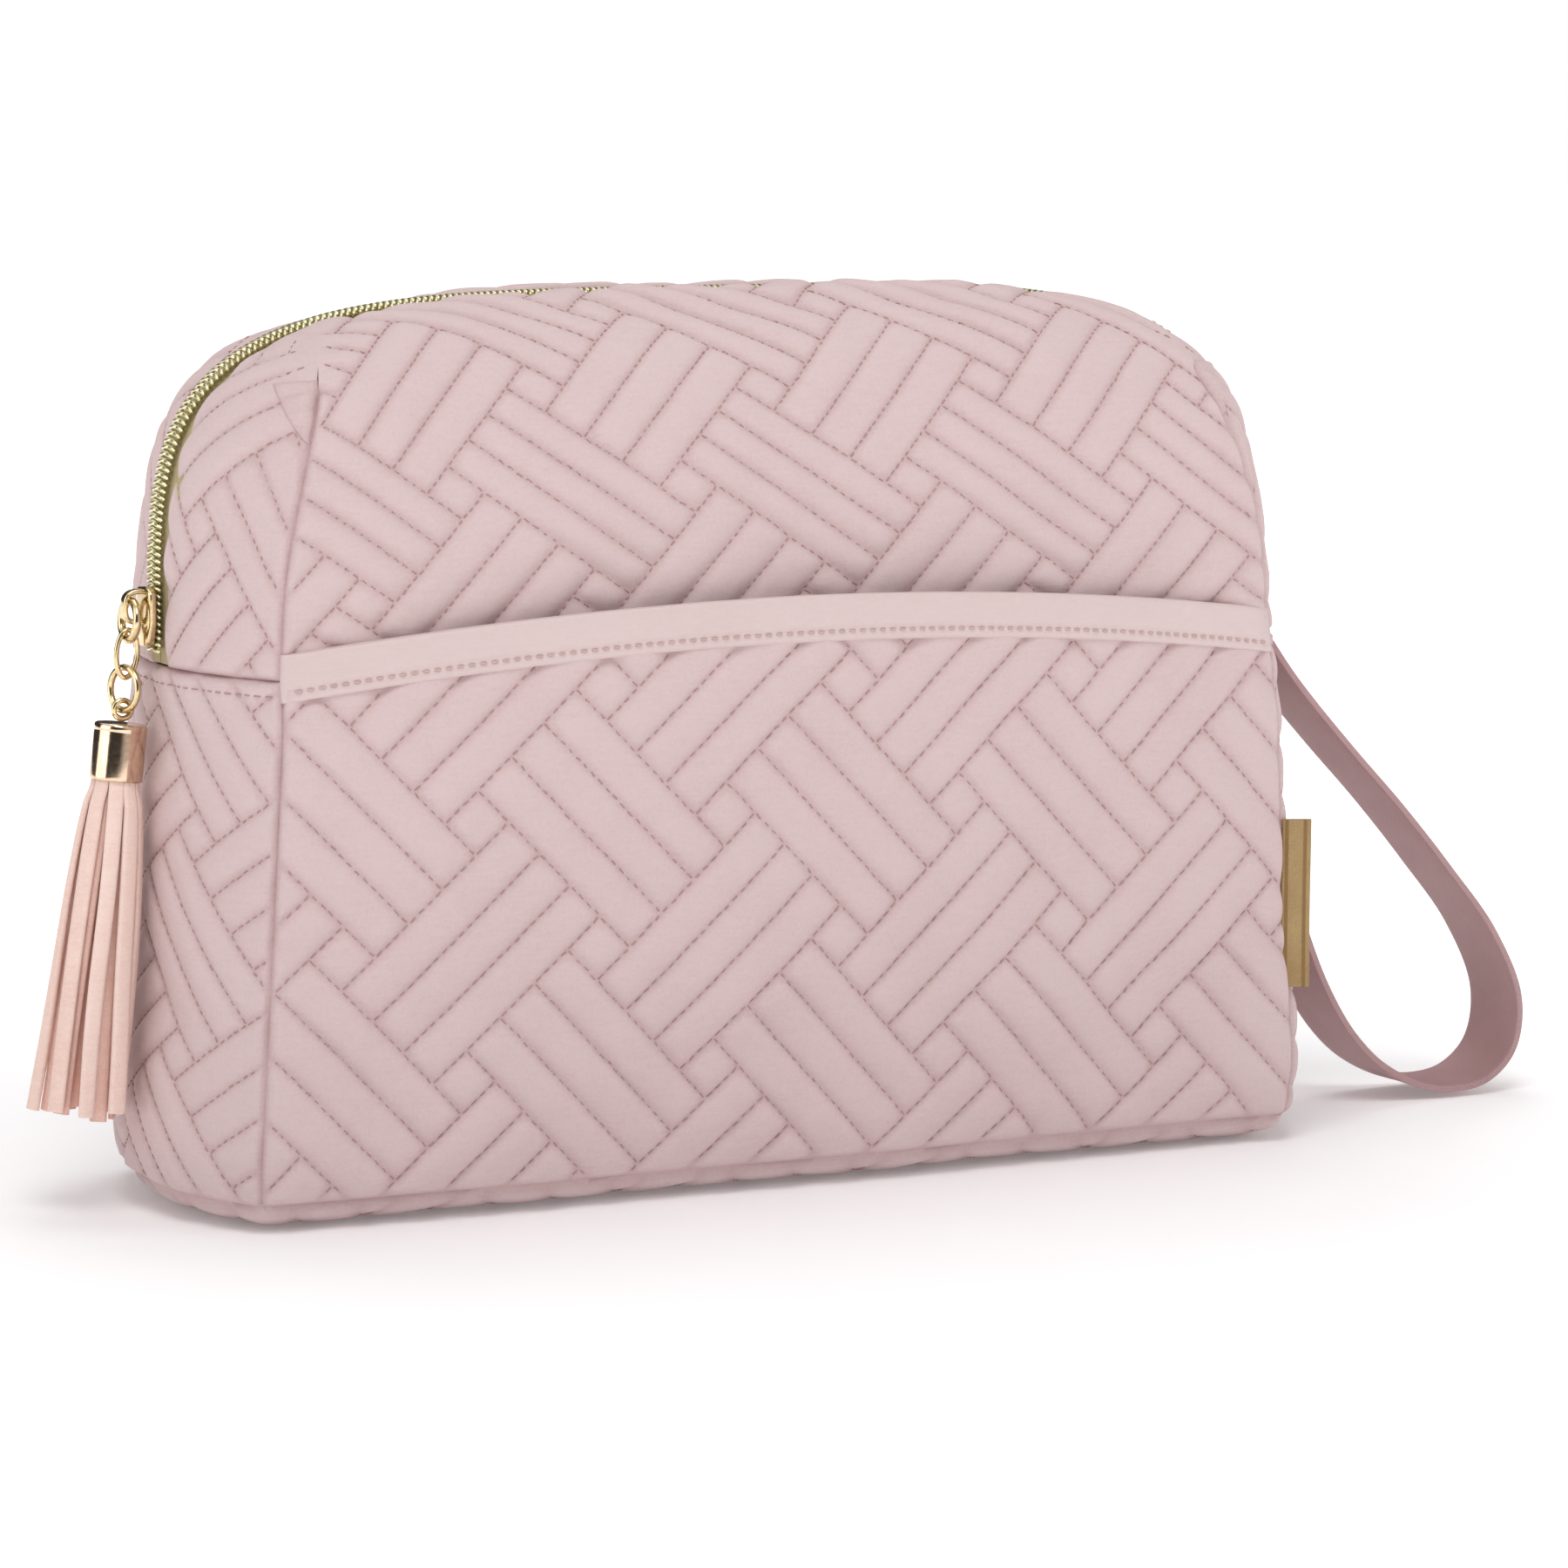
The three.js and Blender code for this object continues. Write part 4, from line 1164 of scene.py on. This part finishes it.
tassel = {
    "eye": (1.9, 0.6),          # radius and wire
    "capRadius": 5.5,
    "capLow": -14.45,
    "capHigh": -2.65,
    # Outline of the cap: radius as a share of the cap's, what is added to it, and height from its top.
    "capTop": ((0, 0.02, -0.1), (0.6, 0, -0.06), (1, -0.7, -0.02), (1, -0.35, -0.12), (1, -0.1, -0.34),
               (1, 0, -0.75), (1, 0, -1.4), (1, -0.06, -1.6), (1, 0, -1.8)),
    # The same from its lower edge, and the inside from its top.
    "capEdge": ((1, 0, 1.0), (1, 0.02, 0.5), (1, -0.02, 0.15), (1, -0.15, 0), (1, -0.42, 0.05),
                (1, -0.5, 0.4)),
    "capInside": ((1, -0.5, -2.6), (1, -1.0, -3.0), (0, 0.02, -3.0)),
    # Strips in a layer, their radius in the cap, their spread and their share of the light colour, less for
    # the inner layers as painted shade inside the fringe.
    "layers": ((9, 4.35, 6.4, 0.85), (8, 3.1, 4.9, 0.3), (5, 1.5, 3.4, 0.05)),
    "halfStrip": 1.95,
    "length": 70.0,
    "hidden": 6.0,              # length of the strips inside the cap
    "thickness": 1.15,
    "flattenInside": 0.3,       # the side against the bag spreads less
    "seed": 4,
}


def addTassel():
    # Cap: a turned outline. Fringe: flat strips that flare as (s^0.62) from the cap and wave a little.
    _, _, up = leanAxes(pull["lean"])
    origin = np.array(pull["hang"]) + up * pull["round"][2]
    right, deep, up = leanAxes(pull["lean"] + pull["tasselLean"])
    radius, wire = tassel["eye"]
    addWire("tassel_eye_wire", "tassel", origin + up * 0.15, right, up, radius, radius, wire)
    r, low = tassel["capRadius"], tassel["capLow"]
    outline = [(share * r + more, height + level) for key, level in (
        ("capTop", tassel["capHigh"]), ("capEdge", low), ("capInside", tassel["capHigh"]))
        for share, more, height in tassel[key]]
    cap = revolve(np.array(outline), origin, right, deep, up)
    joinTo(makeMesh("tassel_cap_shell", *cap, "roseGold"), "tassel", "gold_metal", "tassel_cap")

    draw = np.random.default_rng(tassel["seed"])
    allPoints, allQuads, allCaps, litShare = [], [], [], []
    hidden = tassel["hidden"]
    w = np.linspace(0, 1, 56)
    wide, thick = squaredRing(12, 5)
    start = 0
    for count, radius, spread, shade in tassel["layers"]:
        for i in range(count):
            angle = 2 * math.pi * i / count + draw.uniform(-0.1, 0.1) + radius
            length = tassel["length"] + hidden - draw.uniform(0, 2.6)
            down = w * length
            free = np.clip((down - hidden) / (length - hidden), 0, 1)
            flare = np.maximum(free, 1e-6) ** 0.62 * smooth(free * 14)
            wave = np.sin(free * draw.uniform(3, 6.5) + draw.uniform(0, 6)) * free * (1 - 0.4 * free)
            reach = radius + spread * draw.uniform(0.86, 1.08) * flare + 0.5 * wave
            drift = draw.uniform(-1.3, 1.3) * free ** 1.4 + 0.6 * wave
            twist = angle + draw.uniform(-0.7, 0.7) * free ** 1.5
            radial = np.cos(angle) * right + np.sin(angle) * deep
            tangent = -np.sin(angle) * right + np.cos(angle) * deep
            fall = up * (low + hidden - down)[:, None]
            centre = origin + radial * reach[:, None] + tangent * drift[:, None] + fall
            inward = np.maximum(np.sum((centre - origin) * right, -1), 0)
            centre = centre - right * (inward * tassel["flattenInside"] * free)[:, None]
            face = np.cos(twist)[:, None] * right + np.sin(twist)[:, None] * deep
            packed = math.pi * radius / count * 1.04
            half = np.minimum(lerp(packed, draw.uniform(1.6, 1.95), smooth(free * 5)), tassel["halfStrip"])
            rings = (centre[:, None] + np.cross(up, face)[:, None] * wide[:, None] * half[:, None, None]
                     + face[:, None] * thick[:, None] * tassel["thickness"] / 2)
            points, (quads, caps) = tube(rings)
            allPoints.append(points)
            allQuads.append(quads + start)
            allCaps.append(caps + start)
            # Painted shade: inner layers take a deeper colour, where shade falls inside the fringe.
            litShare.append(np.full(len(points), shade + draw.uniform(-0.15, 0.15)))
            start += len(points)
    faceSets = [np.concatenate(allQuads), np.concatenate(allCaps)]
    fringe = makeMesh("tassel_fringe", np.concatenate(allPoints), faceSets, "suede", np.concatenate(litShare))
    names = [f"fringe_outer_{i}" for i in range(1, 9)] + [f"fringe_inner_{i}" for i in range(1, 5)]
    joinTo(fringe, "tassel", "suede", *names)


addSlider()
addChain()
addTassel()
print("pull and tassel hung")


strap = {
    "route": [[129.6, 112.4], [137.5, 102], [147.3, 90.2], [156.2, 80.3], [169.2, 67], [181.5, 53.5],
              [194, 38], [201, 21.9], [199.5, 10], [193, 3.6], [184.5, 1.7], [176, 2.8], [165.4, 8.2],
              [157, 16.4], [149.5, 28], [143.5, 41], [137.5, 57], [133, 75], [130.4, 92], [128.4, 109.4]],
    "halfWidth": 10.0,
    "halfThickness": 0.85,
    "power": 12,                # squareness of its section
    "groove": 0.18,             # where its edges are stitched, this far from them
    "grooveFrom": 1.3,
    "crown": 0.25,
    "kink": 0.28,
}


def splinePath(route, count):
    # Centripetal Catmull-Rom curve through the route, resampled to even lengths.
    p = np.array(route, float)
    t = np.concatenate([[0], np.cumsum(np.sqrt(np.linalg.norm(np.diff(p, axis=0), axis=1)))])
    slope = np.diff(p, axis=0) / np.diff(t)[:, None]
    gap = np.diff(t)[:, None]
    inner = (slope[:-1] * gap[1:] + slope[1:] * gap[:-1]) / (gap[1:] + gap[:-1])
    m = np.concatenate([slope[:1], inner, slope[-1:]])
    fine = np.linspace(0, t[-1], 4000)
    k = np.clip(np.searchsorted(t, fine) - 1, 0, len(p) - 2)
    h = (t[k + 1] - t[k])[:, None]
    s = ((fine - t[k]) / h[:, 0])[:, None]
    curve = ((2 * s ** 3 - 3 * s ** 2 + 1) * p[k] + (s ** 3 - 2 * s ** 2 + s) * h * m[k]
             + (3 * s ** 2 - 2 * s ** 3) * p[k + 1] + (s ** 3 - s ** 2) * h * m[k + 1])
    reach = lengthsAlong(curve)
    at = np.linspace(0, reach[-1], count)
    return np.stack([np.interp(at, reach, curve[:, i]) for i in (0, 1)], -1), at


def addStrap():
    # A flat section, crowned and grooved along both edges, carried along the route in the XZ plane.
    line, along = splinePath(strap["route"], 381)
    tangent = unit(np.gradient(line, axis=0))
    across, face = squaredRing(64, strap["power"])
    across, face = across * strap["halfWidth"], face * strap["halfThickness"]
    groove = np.exp(-((np.abs(across) - strap["halfWidth"] + strap["grooveFrom"]) / 0.5) ** 2)
    crown = strap["crown"] * (1 - (across / strap["halfWidth"]) ** 2)
    kink = strap["kink"] * np.sin(along / 11.0 + 0.6 * np.sin(along / 23.0)) * smooth(along / 20)
    out = face - strap["groove"] * groove * np.sign(face) + crown + kink[:, None]
    x = line[:, :1] + tangent[:, 1:] * out
    z = np.maximum(line[:, 1:] - tangent[:, :1] * out, 0.15)
    points = stack(x, across, z)
    mesh, faceSets = tube(points)
    around = np.where(face >= 0, across, across + 40)
    piece = makeMesh("wrist_strap_band", mesh, faceSets, "strap", uv=ringUv(along, around))
    joinTo(piece, "strap", "strap", "wrist_strap")


label = {
    "height": 37.0,
    "reach": 6.4,
    "low": 35.0,
    "thickness": 1.3,
    "way": (0.93, -0.37, 0.0),  # direction in which it stands out
    "power": 6,
    "fold": 1.25,               # thicker by this much at its folded edge
    "wave": 0.3,
}


def addLabel():
    # A woven tab folded at its outer edge: two leaves joined by a round fold.
    way = unit(np.array(label["way"]))
    side = unit(np.cross([0, 0, 1.0], way))
    root = np.array([cornerX(label["low"] + label["height"] / 2) - 0.6, -bag["depth"] - 0.1, 0.0])
    out, leaf = squaredRing(60, label["power"])
    reach = (out + 1) / 2 * label["reach"]
    share = reach / label["reach"]
    thick = leaf * label["thickness"] / 2 * lerp(1.0, label["fold"], smooth(share))
    z = label["low"] + np.linspace(0, 1, 97)[:, None] * label["height"]
    shift = thick + label["wave"] * np.sin(z / 6.5) * share
    points = root + way * reach[..., None] + side * shift[..., None] + stack(0 * z, 0 * z, z)
    mesh, faceSets = tube(points)
    around = np.where(leaf >= 0, reach, reach + 20)
    piece = makeMesh("side_label_tab", mesh, faceSets, "label", uv=ringUv(z[:, 0], around))
    joinTo(piece, "root", "label", "side_label")


addStrap()
addLabel()
print("strap and label sewn")


lining = {
    "inset": 3.3,               # from the outer cloth's middle
    "thickness": 0.6,
    "wrinkle": 0.14,
    "low": 7.6,
    "high": 112.6,
    "floor": (113.0, 30.5, 7.2),  # half width, half depth and height
    "floorThickness": 0.7,
    "floorWrinkle": (0.12, 24.0),
    "topGap": 3.5,              # stops this far from the zip's edge of the walls
    "colour": 0.7,              # share of the light colour
}


def wrinkles(points, wavePoints, size, seed):
    # The lining's waves, along the outward direction and mostly inwards.
    return outward(points) * (lining["wrinkle"] * (waves(wavePoints, size, seed) - 1.2))[..., None]


def addLining():
    # Lower lining: one closed ring of cloth inside the walls and sides, with slow wrinkles.
    inset, thickness, colour = lining["inset"], lining["thickness"], lining["colour"]
    t = np.linspace(-1, 1, 61)[:-1, None]
    z = np.linspace(lining["low"], lining["high"], 61)
    width, depth = cornerX(z) - inset, bag["depth"] - bag["recess"] - inset
    end = width + bag["sideBulge"] * (1 - t ** 2)
    wall = depth + 2 * (1 - t ** 2)
    ring = np.concatenate([stack(t * width, -wall, z), stack(end, t * depth, z),
                           stack(-t * width, wall, z), stack(-end, -t * depth, z)]).transpose(1, 0, 2)
    ring = ring - drawIn(ring)
    inner = ring - outward(ring) * thickness
    shift = wrinkles(ring, ring * [1, 1, 0.3], 22.0, 41)
    loop = tube(np.concatenate([ring + shift, (inner + shift)[::-1]]), closed=True)
    joinTo(makeMesh("body_lining_cloth", *loop, "lining", colour), "root", "lining", "body_lining")

    halfWidth, halfDepth, height = lining["floor"]
    x, y = np.linspace(-1, 1, 121)[:, None] * halfWidth, np.linspace(-1, 1, 41) * halfDepth
    top = stack(x, y, height + clothWaves(stack(x, y, 0 * x), lining["floorWrinkle"], 43))
    piece = shell("floor_lining_cloth", top, top - [0, 0, lining["floorThickness"]], "lining", colour)
    joinTo(piece, "root", "lining", "floor_lining")

    for half, wall in walls.items():
        b = np.linspace(bag["seam"] + 0.4, wall.top - lining["topGap"], 49)
        a = np.linspace(-1, 1, 121)[:, None] * wall.width(b)
        left, right = Fan(wall.sign, -1), Fan(wall.sign, 1)
        left, middle, right = [
            sheet.point(p, q) - normals(sheet, p, q) * inset
            for sheet, p, q in ((left, *left.grid(33, 49)), (wall, a, b), (right, *right.grid(33, 49)))]
        sheet = np.concatenate([left[:-1], middle, right[::-1][1:]])
        sheet = sheet - drawIn(sheet) * [1, 1, 0]
        sheet = sheet + wrinkles(sheet, sheet, 20.0, 45)
        inner = sheet - outward(sheet) * thickness
        piece = shell(f"upper_lining_{half}_cloth", sheet, inner, "lining", colour)
        joinTo(piece, mouthBend(half), "lining", f"upper_lining_{half}")


addLining()
print("lining sewn")


studio = {
    "floor": 6.0,
    "world": 0.44,
    "lamps": (
        ("key", (-0.55, -0.95, 1.75), 0.9, 13.5),
        ("side", (-1.6, -0.2, 0.6), 0.8, 0.6),
        ("fill", (1.5, -1.3, 0.9), 1.0, 4.0),
        ("top", (0.2, 0.5, 1.8), 1.2, 7.0),
    ),
}


def addStudio(settings):
    # A pale floor that glows as painted light, dim near the bag and bright further out, a world of even
    # light, and soft round lamps aimed at the bag.
    size = settings["floor"]
    mesh = bpy.data.meshes.new("floor")
    corners = [(x * size, y * size, -0.0002) for x, y in ((-1, -1), (1, -1), (1, 1), (-1, 1))]
    mesh.from_pydata(corners, [], [(0, 1, 2, 3)])
    floor = bpy.data.objects.new("floor", mesh)
    bpy.context.scene.collection.objects.link(floor)
    shade = Shade("paleFloor")
    grain = shade.noise(40.0, 2.0)
    colour = shade.blend(grain, tone(248, 247, 248), tone(252, 251, 252))
    x, y, _ = shade.node("ShaderNodeSeparateXYZ", {}, {0: shade.place()})
    # Painted light: the floor's glow, weak near the bag so that its shadow stays, stronger further out.
    far = ((x * x + y * y) ** 0.5).between(0.1, 0.5)
    glow = shade.blend(far, (0.1, 0.1, 0.1, 1), (0.7, 0.7, 0.7, 1))
    mesh.materials.append(shade.finish(Base_Color=colour, Roughness=0.85, Emission_Color=glow,
                                       Emission_Strength=1.0))

    # The world lights evenly; reflections also see a dark room with bright panels, for the metal.
    world = bpy.data.worlds.new("studio")
    bpy.context.scene.world = world
    shade = Shade("studio", world)
    x, y, z = shade.node("ShaderNodeSeparateXYZ", {}, {0: shade.node("ShaderNodeTexCoord", {}, {})[0]})
    azimuth = shade.node("ShaderNodeMath", {"operation": "ARCTAN2"}, {0: x, 1: -1.0 * y})[0]
    left = azimuth.between(-2.1, -2.0) * (1 - azimuth.between(-1.2, -1.1))
    right = azimuth.between(-0.3, 0.2) * (1 - azimuth.between(1.2, 1.6))
    above = z.between(0.5, 0.8)
    room = 0.05 + (left * 2.0 + right * 0.55) * (1 - above) + above * 0.8
    glossy = shade.node("ShaderNodeBackground", {}, {0: (1.0, 0.985, 0.96, 1), 1: room})[0]
    even = shade.node("ShaderNodeBackground", {}, {0: (1, 1, 1, 1), 1: settings["world"]})[0]
    seen = shade.node("ShaderNodeBackground", {}, {0: (1, 1, 1, 1), 1: 1.0})[0]
    ray = shade.node("ShaderNodeLightPath", {}, {})
    lit = shade.node("ShaderNodeMixShader", {}, {0: ray[3], 1: even, 2: glossy})[0]
    shown = shade.node("ShaderNodeMixShader", {}, {0: ray[0], 1: lit, 2: seen})[0]
    shade.node("ShaderNodeOutputWorld", {}, {0: shown})
    for name, place, size, power in settings["lamps"]:
        data = bpy.data.lights.new(name, "AREA")
        data.shape = "DISK"
        data.size = size
        data.energy = power
        lamp = bpy.data.objects.new(name, data)
        lamp.location = place
        lamp.rotation_mode = "QUATERNION"
        lamp.rotation_quaternion = (Vector((0.0, 0, 0.08)) - Vector(place)).to_track_quat("-Z", "Y")
        bpy.context.scene.collection.objects.link(lamp)


addStudio(studio)
print("studio lit")
